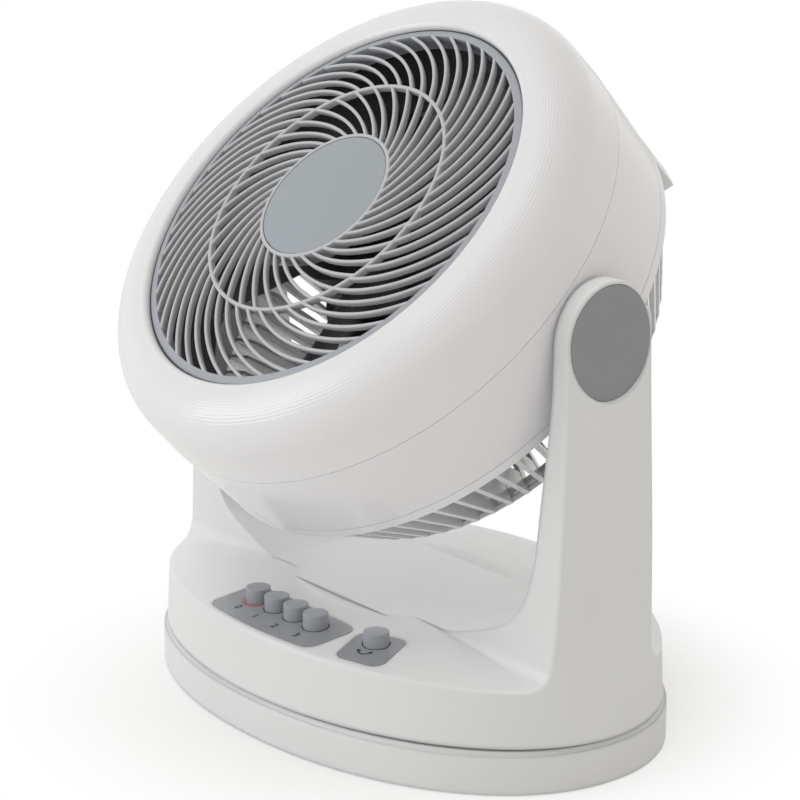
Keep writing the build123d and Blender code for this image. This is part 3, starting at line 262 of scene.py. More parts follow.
def grid_quads(rows, columns, wrap_rows=False, wrap_columns=True):
    """Corner numbers of the quads of a grid: (i, j), (i+1, j), (i+1, j+1), (i, j+1)."""
    i, j = np.meshgrid(np.arange(rows if wrap_rows else rows - 1),
                       np.arange(columns if wrap_columns else columns - 1), indexing="ij")
    below, beside = (i + 1) % rows, (j + 1) % columns
    quads = [i * columns + j, below * columns + j, below * columns + beside, i * columns + beside]
    return np.stack(quads, -1).reshape(-1, 4)


def piece(name, points, faces, body, finish, stands_for=(), smooth_angle=35.0):
    """A finished object at the origin: doubles merged, normals outward, smooth up to an angle."""
    mesh = bpy.data.meshes.new(name)
    corners = np.asarray(points, float).reshape(-1, 3).tolist()
    mesh.from_pydata(corners, [], [list(face) for face in faces])
    shape = bmesh.new()
    shape.from_mesh(mesh)
    bmesh.ops.remove_doubles(shape, verts=shape.verts, dist=1e-6)
    bmesh.ops.dissolve_degenerate(shape, edges=shape.edges, dist=1e-6)
    bmesh.ops.recalc_face_normals(shape, faces=shape.faces)
    shape.to_mesh(mesh)
    shape.free()
    mesh.shade_smooth()
    mesh.set_sharp_from_angle(angle=math.radians(smooth_angle))
    made = bpy.data.objects.new(name, mesh)
    bpy.context.scene.collection.objects.link(made)
    mesh.materials.append(material(finish))
    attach(made, body)
    if stands_for:
        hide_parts(*stands_for)
    return made


def softened(corners, radius, steps=5):
    """A closed outline with its corners rounded: at each corner C the curve
    (1-t)^2 A + 2t(1-t) C + t^2 B, where A and B lie one radius along its sides, or as far
    as the most of a side that a rounding may take."""
    most = 0.45
    corners = np.asarray(corners, float)
    before, after = np.roll(corners, 1, 0) - corners, np.roll(corners, -1, 0) - corners
    long_before = np.linalg.norm(before, axis=1, keepdims=True)
    long_after = np.linalg.norm(after, axis=1, keepdims=True)
    radius = np.broadcast_to(np.asarray(radius, float).reshape(-1, 1), long_before.shape)
    reach = np.minimum(radius, most * np.minimum(long_before, long_after))
    start, end = corners + before / long_before * reach, corners + after / long_after * reach
    t = np.linspace(0, 1, steps)[None, :, None]
    middle = corners[:, None]
    curve = (1 - t) ** 2 * start[:, None] + 2 * t * (1 - t) * middle + t ** 2 * end[:, None]
    return curve.reshape(-1, 2)


def spun_about_fan(outline, segments):
    """The surface (r cos a, r sin a, s) of an outline of (r, s), for a from 0 to a full turn."""
    turn = np.linspace(0, 2 * np.pi, segments, endpoint=False)[None, :]
    radius, forward = outline[:, 0, None], outline[:, 1, None]
    return head_points(radius * np.cos(turn), radius * np.sin(turn), forward + 0 * turn)


def spun_upright(outline, centre, segments):
    """The surface (x + r cos a, y + r sin a, z) of an outline of (r, z) about a place (x, y)."""
    turn = np.linspace(0, 2 * np.pi, segments, endpoint=False)[None, :]
    radius, height = outline[:, 0, None], outline[:, 1, None]
    return np.stack([centre[0] + radius * np.cos(turn), centre[1] + radius * np.sin(turn),
                     height + 0 * turn], -1)


def turned(name, outline, segments, finish, stands_for=()):
    """A piece of the head: a closed outline of (r, s) carried once round the fan's axis."""
    return piece(name, spun_about_fan(outline, segments),
                 grid_quads(len(outline), segments, wrap_rows=True), "head", finish,
                 stands_for)


# ---- Materials
def add_node(tree, kind, inputs, **settings):
    """A shader node with its settings, its plain inputs and its links."""
    made = tree.nodes.new(kind)
    for name, value in settings.items():
        setattr(made, name, value)
    for name, value in inputs.items():
        if isinstance(value, bpy.types.NodeSocket):
            tree.links.new(value, made.inputs[name])
        else:
            made.inputs[name].default_value = value
    return made


def cloud(tree, place, scale, detail, low, high):
    """Soft noise of a scale, in the piece's own space, spread over a range."""
    noise = add_node(tree, "ShaderNodeTexNoise",
                     {"Vector": place, "Scale": scale, "Detail": detail})
    spread = add_node(tree, "ShaderNodeMapRange", {
        "Value": noise.outputs["Fac"], "From Min": 0.3, "From Max": 0.7,
        "To Min": low, "To Max": high})
    return spread.outputs["Result"]


def shades(tree, share, dark, light):
    """A colour between two, by a share."""
    mix = add_node(tree, "ShaderNodeMix", {"Factor": share}, data_type="RGBA")
    mix.inputs["A"].default_value = (*dark, 1)
    mix.inputs["B"].default_value = (*light, 1)
    return mix.outputs["Result"]


def moulded(name, colour, roughness, mottle=0.012, unevenness=0.03, grain=0.05,
            grain_scale=900.0, coat=0.0, metallic=0.0, subsurface=0.0, rounding=0.0):
    """Moulded or milled stock: faint clouds of tone, uneven gloss and a fine grain in the skin.
    A rounding softens the shading of its edges by that radius."""
    made = bpy.data.materials.new(f"{name}_finish")
    made.use_nodes = True
    tree = made.node_tree
    tree.nodes.clear()
    place = add_node(tree, "ShaderNodeTexCoord", {}).outputs["Object"]
    tint = cloud(tree, place, scale=14.0, detail=3.0, low=0.0, high=1.0)
    base = np.array(colour[:3])
    skin = shades(tree, tint, base * (1 - mottle), np.minimum(base * (1 + mottle), 1))
    gloss = cloud(tree, place, scale=45.0, detail=4.0, low=roughness - unevenness,
                  high=roughness + unevenness)
    fine = add_node(tree, "ShaderNodeTexNoise",
                    {"Vector": place, "Scale": grain_scale, "Detail": 2.0})
    bump = add_node(tree, "ShaderNodeBump",
                    {"Height": fine.outputs["Fac"], "Strength": grain, "Distance": 0.0002})
    if rounding:
        bevel = add_node(tree, "ShaderNodeBevel", {"Radius": rounding}, samples=8)
        tree.links.new(bevel.outputs["Normal"], bump.inputs["Normal"])
    shader = add_node(tree, "ShaderNodeBsdfPrincipled", {
        "Base Color": skin, "Roughness": gloss, "Normal": bump.outputs["Normal"],
        "Metallic": metallic, "Coat Weight": coat, "Coat Roughness": 0.12,
        "Subsurface Weight": subsurface, "Subsurface Radius": (0.004, 0.004, 0.004)})
    add_node(tree, "ShaderNodeOutputMaterial", {"Surface": shader.outputs["BSDF"]})
    return made


def ringed(name, line, ground, box):
    """Two printed circles on a ring's face: the line colour near its outer and its inner edge,
    and the ground colour on a band between them."""
    band_depth, band_half = 0.95 * MM, 0.42 * MM
    tree = moulded(name, line, 0.3).node_tree
    shader = next(node for node in tree.nodes if node.type == "BSDF_PRINCIPLED")
    low, high = box
    centre = ((low.x + high.x) / 2, (low.y + high.y) / 2, 0)
    outer = (high.x - low.x) / 2
    place = add_node(tree, "ShaderNodeTexCoord", {}).outputs["Object"]
    flat = add_node(tree, "ShaderNodeVectorMath", {0: place, 1: (1, 1, 0)},
                    operation="MULTIPLY")
    away = add_node(tree, "ShaderNodeVectorMath", {0: flat.outputs["Vector"], 1: centre},
                    operation="DISTANCE").outputs["Value"]
    between = add_node(tree, "ShaderNodeMath", {0: away, 1: outer - band_depth, 2: band_half},
                       operation="COMPARE")
    mix = add_node(tree, "ShaderNodeMix", {"Factor": between.outputs[0]}, data_type="RGBA")
    mix.inputs["A"].default_value = (*line, 1)
    mix.inputs["B"].default_value = (*ground, 1)
    tree.links.new(mix.outputs["Result"], shader.inputs["Base Color"])


def material(name):
    """A finish made earlier."""
    return bpy.data.materials[f"{name}_finish"]


CAD_FINISHES = {
    "shell_white": ["rear_shell", "rear_grille", "carry_handle"],
    "body_white": ["base_shell", "base_plate", "yoke_housing", "yoke_floor"],
    "panel_grey": ["button_panel", "swing_panel"],
    "cap_grey": ["pivot_cap_right", "pivot_cap_left"],
    "badge_grey": ["badge_disc"],
    # The fan wheel's dark finish is painted shade inside the duct.
    "fan_charcoal": ["fan_wheel", "fan_nut"],
    "stop_red": ["stop_ring"],
    "foot_rubber": ["foot_ring"],
    "zinc_steel": ["base_screws", "yoke_screws", "grille_screws", "motor_screws",
                   "pivot_screw_right", "pivot_screw_left", "motor_shaft", "swivel_post",
                   "spindle_retainer"],
    "lamination_steel": ["stator_core", "rotor_core"],
    "cast_aluminium": ["motor_front_bracket", "motor_rear_bracket", "swing_motor",
                       "trunnion_right", "trunnion_left"],
    "winding_copper": ["stator_windings"],
    "bearing_bronze": ["motor_bearings"],
    "nylon_natural": ["swing_gear", "swing_pinion", "thrust_ring", "swivel_bush",
                      "friction_washer_right", "friction_washer_left"],
    "switch_black": ["speed_switch", "swing_switch", "cord_gland"],
    "capacitor_can": ["capacitor"],
}
# Each metal's linear colour, roughness, mottle and grain
METALS = {
    "zinc_steel": ((0.42, 0.42, 0.44), 0.32, 0.1, 0.15),
    "lamination_steel": ((0.2, 0.21, 0.22), 0.45, 0.15, 0.4),
    "cast_aluminium": ((0.44, 0.45, 0.46), 0.5, 0.08, 0.4),
    "winding_copper": ((0.45, 0.16, 0.06), 0.35, 0.2, 0.5),
    "bearing_bronze": ((0.4, 0.25, 0.09), 0.4, 0.1, 0.2),
}


class CIRCULATOR_OT_finishes(bpy.types.Operator):
    """Make the finishes and give every carried-over node its own"""
    bl_idname = "circulator.finishes"
    bl_label = "Finishes"

    def execute(self, context):
        tones = context.scene.circulator_finish
        moulded("shell_white", tones.shell, 0.2, coat=0.3, grain=0.03, subsurface=0.03)
        moulded("body_white", tones.body, 0.34, grain=0.06, subsurface=0.03,
                rounding=4.0 * MM)
        moulded("panel_grey", tones.panel, 0.22, coat=0.2, grain=0.04)
        moulded("cap_grey", tones.cap, 0.36, grain=0.08)
        moulded("button_grey", tones.button, 0.38, grain=0.1)
        moulded("grille_grey", tones.grille, 0.34, grain=0.06)
        # A darker copy of the grille's finish, painted shade for the rim in shadow.
        moulded("rim_painted_shade", tones.rim, 0.34, grain=0.06)
        moulded("badge_grey", tones.badge, 0.42, grain=0.1, grain_scale=1500.0)
        # Painted shade for the fan wheel deep inside the duct.
        moulded("fan_charcoal", tones.fan, 0.4, grain=0.06)
        # Painted shade for the duct's lining and for the dark ring round the grille's rim.
        moulded("duct_painted_shade", tones.duct, 0.5, grain=0.1)
        ringed("stop_red", tones.stop, tones.panel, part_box("stop_ring"))
        # Real print for the digits and the arrow, painted shadow for the rings round the buttons.
        moulded("print_and_shadow_black", tones.mark, 0.5, mottle=0.1, grain=0.2)
        moulded("foot_rubber", tones.rubber, 0.75, mottle=0.12, grain=0.35,
                grain_scale=1600.0)
        for name, (colour, roughness, mottle, grain) in METALS.items():
            moulded(name, colour, roughness, mottle=mottle, metallic=1.0, grain=grain)
        moulded("nylon_natural", (0.75, 0.7, 0.57), 0.45, subsurface=0.1)
        moulded("switch_black", (0.02, 0.02, 0.022), 0.45, grain=0.2)
        moulded("capacitor_can", (0.045, 0.05, 0.065), 0.4, grain=0.15)
        for finish, nodes in CAD_FINISHES.items():
            for name in nodes:
                skins = frame["nodes"][name].data.materials
                skins.clear()
                skins.append(material(finish))
        return {"FINISHED"}


class CIRCULATOR_OT_front_shell(bpy.types.Operator):
    """Turn the front shell with its rolled shoulder, rounded lip and fine round grooves"""
    bl_idname = "circulator.front_shell"
    bl_label = "Front shell"

    def execute(self, context):
        """An outline of (r, s) runs from the seam over the roll, the grooves and the lip, down
        the duct and back inside, and is spun about the fan's axis. A groove at c is a dip of
        d exp(-((r - c) / w)^2). The duct's dark lining, a sheet of painted shade over the
        duct's inside, is spun in the same way."""
        size = context.scene.circulator_shell
        groove_end = size.groove_first + size.groove_pitch * size.grooves
        lip_centre = (size.opening + size.lip, size.crest - size.lip)
        roll_width = size.shoulder_radius - size.crest_radius
        fine_step, duct_edge = 0.24 * MM, 0.4 * MM
        side_steps, roll_steps, round_steps = 5, 18, 9

        def outside(radius):
            """Height of the outer face: a flat crest, then a quarter ellipse to the shoulder."""
            run = np.clip((radius - size.crest_radius) / roll_width, 0, 1)
            return size.shoulder + (size.crest - size.shoulder) * np.sqrt(1 - run ** 2)

        fine = np.arange(groove_end, lip_centre[0], -fine_step)
        centres = size.groove_first + size.groove_pitch * np.arange(size.grooves)
        dips = np.exp(-((fine[:, None] - centres) / size.groove_width) ** 2).sum(1)
        dips *= size.groove_depth
        roll_end = np.arccos((groove_end - size.crest_radius) / roll_width)
        bend = np.linspace(0, roll_end, roll_steps)[:-1]
        roll = np.stack([size.crest_radius + roll_width * np.cos(bend),
                         size.shoulder + (size.crest - size.shoulder) * np.sin(bend)], 1)
        side = np.array([[size.outer, size.seam], [size.shoulder_radius, size.shoulder]])
        side = side[0] + (side[1] - side[0]) * np.linspace(0, 1, side_steps)[:-1, None]
        top = np.stack([fine, outside(fine) - dips], 1)
        quarter = np.linspace(np.pi / 2, np.pi, round_steps)
        lip = np.stack([lip_centre[0] + size.lip * np.cos(quarter),
                        lip_centre[1] + size.lip * np.sin(quarter)], 1)
        duct_outer, opening_outer = size.duct + size.wall, size.opening + size.wall
        inner_roll = np.linspace(np.pi / 2, 0, round_steps)
        inner_width, inner_top = roll_width - size.wall, size.crest - size.shoulder - size.wall
        inner = np.stack([size.crest_radius + inner_width * np.cos(inner_roll),
                          size.shoulder + inner_top * np.sin(inner_roll)], 1)
        seat_back = size.seat - size.wall
        duct = softened([(size.opening, size.seat), (size.duct, size.seat),
                         (size.duct, size.duct_back), (duct_outer, size.duct_back),
                         (duct_outer, seat_back), (opening_outer, seat_back),
                         (opening_outer, size.crest - size.wall)], duct_edge, 3)
        edge = [(size.outer - size.wall, size.seam)]
        outline = np.concatenate([side, roll, top, lip, duct, inner, edge])
        turned("front_shell_skin", outline, SHELL_TURN, "shell_white",
               ["front_shell"])
        # A thin dark sheet of painted shade over the duct's inside, where there is only shade.
        shade_sheet = np.array([(size.duct, seat_back), (size.duct - size.liner, seat_back),
                           (size.duct - size.liner, size.duct_back),
                           (size.duct, size.duct_back)])
        turned("duct_lining", shade_sheet, SHADE_SHEET_TURN, "duct_painted_shade")
        return {"FINISHED"}


# The grille's dome: its rise above its edge at each of these radii
DOME_RADII = np.array([0, 52, 64, 77, 83, 89, 95, 101, 107, 113, 118.7]) * MM
DOME_RISES = np.array([6.5, 6.5, 6.32, 6.0, 5.5, 5.0, 4.25, 3.25, 2.25, 1.25, 0.0]) * MM


def dome_rise(size, radius):
    """Height of the grille's dome: flat over the middle, then falling ever faster to the rim."""
    return size.dome + np.interp(radius, DOME_RADII, DOME_RISES)


def inner_turn(radius):
    """Degrees of an inner blade's middle: a spiral that turns by the logarithm of the radius."""
    lead, start = -6.4, 41 * MM
    return lead + np.degrees(np.log(radius / start))


def outer_turn(radius):
    """Degrees of an outer blade's middle: lead + sweep run + bend run^2, with run in mm."""
    lead, sweep, bend, start = -2.5, 0.80, 0.0022, 77 * MM
    run = (radius - start) / MM
    return lead + sweep * run + bend * run ** 2


def blade_row(size, turn_at, start, end, blades, steps=20, arc_steps=8):
    """Blades whose middle runs (r cos a(r), r sin a(r)), with a half-round top and a narrower
    foot. Across each blade the section is (w/2 cos p, top - w/2 + w/2 sin p), with p from 0 to
    pi, then the foot."""
    radius = np.linspace(start, end, steps)
    angle = np.radians(turn_at(radius))
    middle = np.stack([radius * np.cos(angle), radius * np.sin(angle)], 1)
    run = np.gradient(middle, axis=0)
    run /= np.linalg.norm(run, axis=1, keepdims=True)
    aside = np.stack([run[:, 1], -run[:, 0]], 1)
    half = size.blade_width / 2
    arc = np.linspace(0, np.pi, arc_steps)
    across = np.concatenate([half * np.cos(arc), [-size.blade_foot / 2, size.blade_foot / 2]])
    top = dome_rise(size, radius)[:, None]
    foot = np.repeat(top - size.blade_depth, 2, 1)
    height = np.concatenate([top - half + half * np.sin(arc)[None], foot], 1)
    plan = middle[:, None] + across[None, :, None] * aside[:, None]
    spin = 2 * np.pi * np.arange(blades)[:, None, None] / blades
    x = plan[None, ..., 0] * np.cos(spin) - plan[None, ..., 1] * np.sin(spin)
    y = plan[None, ..., 0] * np.sin(spin) + plan[None, ..., 1] * np.cos(spin)
    points = head_points(x, y, height[None])
    sides = len(across)
    quads = grid_quads(steps, sides)
    ends = np.stack([np.arange(sides), (steps - 1) * sides + np.arange(sides)[::-1]])
    offsets = np.arange(blades)[:, None, None] * steps * sides
    faces = (quads[None] + offsets).reshape(-1, 4).tolist()
    faces += (ends[None] + offsets).reshape(-1, sides).tolist()
    return points, faces


class CIRCULATOR_OT_front_grille(bpy.types.Operator):
    """Lay the two rows of curved blades with their rings, rim and hub"""
    bl_idname = "circulator.front_grille"
    bl_label = "Front grille"

    def execute(self, context):
        """The rings, the rim, the hub and the badge are outlines of (r, s), spun about the
        fan's axis. The blades are swept as blade_row says."""
        size = context.scene.circulator_grille
        rim_inner = size.rim_outer - size.rim_width
        overlap = 1 * MM
        rows = {
            "grille_inner_blades": (inner_turn, size.hub - overlap, size.middle,
                                    size.inner_blades),
            "grille_outer_blades": (outer_turn, size.middle, rim_inner + overlap,
                                    size.outer_blades),
        }
        for name, row in rows.items():
            points, faces = blade_row(size, *row)
            piece(name, points, faces, "head", "grille_grey", ["front_grille"],
                  smooth_angle=50.0)

        proud, back_edge = 0.1 * MM, 0.3 * MM
        low, high = size.middle - size.middle_width / 2, size.middle + size.middle_width / 2
        top = dome_rise(size, size.middle) + proud
        ring_back = top - size.blade_depth
        ring_edge, rim_edge = 1 * MM, 0.9 * MM
        ring = softened([(low, ring_back), (high, ring_back), (high, top), (low, top)],
                        [back_edge, back_edge, ring_edge, ring_edge])
        turned("grille_middle_ring", ring, GRILLE_TURN, "grille_grey",
               ["front_grille"])
        rim = softened([(rim_inner, size.back), (size.rim_outer, size.back),
                        (size.rim_outer, dome_rise(size, size.rim_outer)),
                        (rim_inner, dome_rise(size, rim_inner) + proud)],
                       [back_edge, back_edge, rim_edge, rim_edge])
        # The rim takes the darker copy of the grille's grey, which is painted shade.
        turned("grille_rim", rim, GRILLE_TURN, "rim_painted_shade", ["front_grille"])
        # A thin dark ring just below the rim is a painted shadow of the shade between the rim and
        # the shell's lip.
        shadow_ring_front = dome_rise(size, size.rim_outer) - size.gap_depth
        tuck, thickness = 0.2 * MM, 1 * MM
        shadow_ring_inner, shadow_ring_back = size.rim_outer - tuck, shadow_ring_front - thickness
        shadow_ring = np.array([(shadow_ring_inner, shadow_ring_front), (size.gap_outer, shadow_ring_front),
                        (size.gap_outer, shadow_ring_back), (shadow_ring_inner, shadow_ring_back)])
        turned("grille_gap", shadow_ring, GRILLE_TURN, "duct_painted_shade")
        corner, hub_edge, floor_edge, badge_edge = 0.4 * MM, 0.8 * MM, 0.2 * MM, 0.6 * MM
        hub = softened([(0, size.hub_back), (size.hub, size.hub_back),
                        (size.hub, size.hub_front), (size.recess, size.hub_front),
                        (size.recess, size.recess_floor), (0, size.recess_floor)],
                       [0, corner, hub_edge, corner, floor_edge, 0])
        turned("grille_hub", hub, HUB_TURN, "grille_grey", ["front_grille"])
        badge = softened([(0, size.recess_floor), (size.badge, size.recess_floor),
                          (size.badge, size.badge_front), (0, size.badge_front)],
                         [0, floor_edge, badge_edge, 0])
        turned("badge_face", badge, HUB_TURN, "badge_grey", ["badge_disc"])
        return {"FINISHED"}


class CIRCULATOR_OT_rear_webs(bpy.types.Operator):
    """Deepen the rear slats with webs and tie them with a ring at their bend"""
    bl_idname = "circulator.rear_webs"
    bl_label = "Rear webs"

    def execute(self, context):
        """Each web carries an outline of (r, s) half its width to both sides of its slat:
        (r cos a - h sin a, r sin a + h cos a, s). None stands behind the handle's opening."""
        size = context.scene.circulator_rear
        handle_degrees, flare = 40, 1.1
        turn = np.radians((np.arange(size.slats) + 0.5) * 360 / size.slats)
        turn = turn[abs(np.degrees(turn) - 90) > handle_degrees]
        front, back = size.slat_front_radius, size.slat_back_radius
        slope = (front - back) / (size.bend - size.web_front)
        outline = np.array([(front, -size.web_front), (back, -size.bend),
                            (back - size.web_depth, -size.bend),
                            (front - size.web_depth * flare,
                             -size.web_front - slope * size.web_depth)])
        side = np.array([-0.5, 0.5]) * size.web_width
        radius, side = outline[None, None, :, 0], side[None, :, None]
        across, along = np.cos(turn)[:, None, None], np.sin(turn)[:, None, None]
        points = head_points(radius * across - side * along, radius * along + side * across,
                             outline[None, None, :, 1])
        corners = len(outline)
        ring = np.arange(corners)
        walls = np.stack([ring, np.roll(ring, -1), np.roll(ring, -1) + corners,
                          ring + corners], 1)
        caps = np.stack([ring[::-1], ring + corners])
        offsets = 2 * corners * np.arange(len(turn))[:, None, None]
        faces = (walls[None] + offsets).reshape(-1, 4).tolist()
        faces += (caps[None] + offsets).reshape(-1, corners).tolist()
        piece("rear_slat_webs", points, faces, "head", "shell_white")
        width, step, rounding = 2.4 * MM, 1 * MM, 0.3 * MM
        edge = softened([(size.edge_inner, -size.face), (size.edge_outer, -size.bend),
                         (size.edge_outer - width, -size.bend + step),
                         (size.edge_inner - width, -size.face + 2 * step)], rounding, 3)
        turned("rear_edge_ring", edge, EDGE_TURN, "shell_white")
        return {"FINISHED"}


def oval(half_width, half_depth, power, turn):
    """A superellipse |x/a|^n + |y/b|^n = 1: x = a sgn(cos t) |cos t|^(2/n), and y = b in the
    same way with sin t."""
    across, along = np.cos(turn), np.sin(turn)
    return (half_width * np.sign(across) * np.abs(across) ** (2 / power),
            half_depth * np.sign(along) * np.abs(along) ** (2 / power))


class CIRCULATOR_OT_base_skin(bpy.types.Operator):
    """Draw the oval base with its set-back band below the yoke"""
    bl_idname = "circulator.base_skin"
    bl_label = "Base skin"

    def execute(self, context):
        """Each point of an outline of (inset, z) goes round the oval that lies so far inside."""
        size = context.scene.circulator_base
        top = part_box("base_shell")[1].z
        shelf = top - size.collar_height
        inner = size.collar_inset + size.wall
        foot_edge, collar_foot, other_edge = 0.3 * MM, 0.4 * MM, 0.5 * MM
        outline = softened([(size.wall, size.lift), (0, size.lift), (0, shelf),
                            (size.collar_inset, shelf), (size.collar_inset, top),
                            (size.top_width, top), (size.top_width, top - size.wall),
                            (inner, top - size.wall), (inner, shelf),
                            (size.wall, shelf - size.wall)],
                           [foot_edge, size.edge, size.edge, collar_foot] + [other_edge] * 6)
        turn = np.linspace(0, 2 * np.pi, BASE_TURN, endpoint=False)[None, :]
        inset, height = outline[:, 0, None], outline[:, 1, None]
        x, y = oval(size.half_width - inset, size.half_depth - inset, size.fullness, turn)
        points = np.stack([x, y, height + 0 * turn], -1)
        piece("base_skin", points, grid_quads(len(outline), BASE_TURN, wrap_rows=True), "base",
              "body_white", ["base_shell"])
        return {"FINISHED"}


def deck_height(x, y):
    """Height of the deck's dome: c - R + sqrt((R - y^2 / 2S)^2 - x^2), with the crown's height
    c, the side to side radius R and the front to back radius S."""
    crown, sideways, lengthways = 65.9 * MM, 1280.0 * MM, 914.0 * MM
    fall = sideways + 0 * x - (y ** 2) / (2 * lengthways)
    return crown - sideways + np.sqrt(fall ** 2 - x ** 2)


def printed(name, points, faces, body, size):
    """A mark that follows the deck's dome, each point one mark's thickness above it."""
    points = np.asarray(points, float)
    height = deck_height(points[:, 0], points[:, 1])
    top = np.column_stack([points[:, :2], height + size.mark_thickness])
    # Digits and the arrow are real print; the rings round the buttons are painted shadow in the
    # same black.
    piece(name, top, faces, body, "print_and_shadow_black")


class CIRCULATOR_OT_buttons(bpy.types.Operator):
    """Turn the five push buttons with their rounded edges and domed tops"""
    bl_idname = "circulator.buttons"
    bl_label = "Push buttons"

    def execute(self, context):
        """Each key is a side, a quarter round and a crown of height h - d u^2, with u from 1 at
        the edge to 0 in the middle, spun about its own axis. A flat dark ring lies round it: a
        painted shadow of the gap between the key and the panel."""
        size = context.scene.circulator_controls
        turn = np.linspace(0, 2 * np.pi, BUTTON_TURN, endpoint=False)[None, :]
        foot, steps = 0.3 * MM, 7
        for name in ("button_0", "button_1", "button_2", "button_3", "swing_button"):
            low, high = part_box(name)
            centre = ((low.x + high.x) / 2, (low.y + high.y) / 2)
            summit = high.z + size.button_rise
            shoulder = summit - size.button_dome
            flat = size.button_radius - size.button_edge
            inward = np.linspace(1, 0, steps)
            bend = np.linspace(0, np.pi / 2, steps)
            edge = np.stack([flat + size.button_edge * np.cos(bend),
                             shoulder - size.button_edge + size.button_edge * np.sin(bend)], 1)
            crown = np.stack([flat * inward, summit - size.button_dome * inward ** 2], 1)[1:]
            wall = [(0, low.z), (size.button_radius - foot, low.z),
                    (size.button_radius, low.z + foot)]
            outline = np.concatenate([wall, edge, crown])
            piece(f"{name}_key", spun_upright(outline, centre, BUTTON_TURN),
                  grid_quads(len(outline), BUTTON_TURN), name, "button_grey",
                  [name])
            # A flat dark ring on the deck round the key: a painted shadow of the gap.
            inner = size.button_radius + size.button_play
            reach = np.array([[inner], [inner + size.button_gap]])
            shadow_ring = np.stack([centre[0] + reach * np.cos(turn), centre[1] + reach * np.sin(turn)],
                           -1)
            printed(f"{name}_gap", shadow_ring.reshape(-1, 2), grid_quads(2, BUTTON_TURN), "yoke", size)
        return {"FINISHED"}


# Where the middle of each digit lies on the deck, in mm
DIGIT_SPOTS = [(-27.0, -95.2), (-9.2, -96.6), (9.3, -97.2), (27.4, -96.4)]


class CIRCULATOR_OT_marks(bpy.types.Operator):
    """Print the digits 0 1 2 3 and the swing arrow on the panels"""
    bl_idname = "circulator.marks"
    bl_label = "Digits and arrow"

    def execute(self, context):
        size = context.scene.circulator_controls
        size_per_height, stroke = 1.38, 0.16 * MM
        for digit, (x, y) in enumerate(DIGIT_SPOTS):
            text = bpy.data.curves.new(f"digit_{digit}", "FONT")
            text.body = str(digit)
            text.align_x, text.align_y = "CENTER", "CENTER"
            text.size = size.digit_height * size_per_height
            text.offset = stroke
            holder = bpy.data.objects.new(f"digit_{digit}_text", text)
            context.scene.collection.objects.link(holder)
            context.view_layer.update()
            shaped = holder.evaluated_get(context.evaluated_depsgraph_get())
            flat = bpy.data.meshes.new_from_object(shaped)
            bpy.data.objects.remove(holder)
            co = np.zeros(len(flat.vertices) * 3)
            flat.vertices.foreach_get("co", co)
            co = co.reshape(-1, 3)
            middle = (co.min(0) + co.max(0)) / 2
            co = co - middle + np.array([x, y, 0]) * MM
            faces = [list(polygon.vertices) for polygon in flat.polygons]
            printed(f"digit_{digit}", co, faces, "yoke", size)
        self.arrow(size)
        return {"FINISHED"}

    def arrow(self, size):
        """A bow (R sin t, -R cos t) with t from -a to a, and a barb at each end along the bow's
        tangent, all turned by the lean."""
        barb, point = size.arrow_width * 1.7, 1.6
        half, reach = size.arrow_width / 2, np.radians(size.arrow_sweep / 2)
        steps = 25
        bend = np.linspace(-reach, reach, steps)
        radii = size.arrow_radius + np.array([-half, half])[:, None]
        bow = np.stack([radii * np.sin(bend), -radii * np.cos(bend)], -1).reshape(-1, 2)
        quads = grid_quads(2, len(bend), wrap_columns=False).tolist()
        ends = np.array([-reach, reach])
        tips = size.arrow_radius * np.stack([np.sin(ends), -np.cos(ends)], 1)
        ahead = np.sign(ends)[:, None] * np.stack([np.cos(ends), np.sin(ends)], 1)
        outward = np.stack([np.sin(ends), -np.cos(ends)], 1)
        barbs = np.stack([tips - barb * outward, tips + point * barb * ahead,
                          tips + barb * outward], 1)
        flat = np.concatenate([bow, barbs.reshape(-1, 2)])
        triangles = (len(bow) + np.arange(6).reshape(2, 3)).tolist()
        lean = math.radians(size.arrow_lean)
        across = flat[:, 0] * math.cos(lean) - flat[:, 1] * math.sin(lean)
        along = flat[:, 0] * math.sin(lean) + flat[:, 1] * math.cos(lean)
        spot = np.array([size.arrow_across, -size.arrow_forward])
        leaned = np.stack([across, along], 1)
        printed("swing_arrow", leaned + spot, quads + triangles, "yoke", size)


DECK_PIECES = ["yoke_housing", "button_panel", "swing_panel"]
LAMP_WIDTH, LAMP_TARGET = 1.8, (0, 0, 0.2)
# Each lamp's place in metres and its colour
LAMPS = {
    "front_light": ((-1.3, -2.3, 1.0), (0.90, 0.955, 1.0)),
    "top_light": ((-0.4, -1.0, 2.4), (1.0, 1.0, 1.0)),
    "deck_light": ((0.0, 0.0, 2.6), (1.0, 1.0, 1.0)),
}


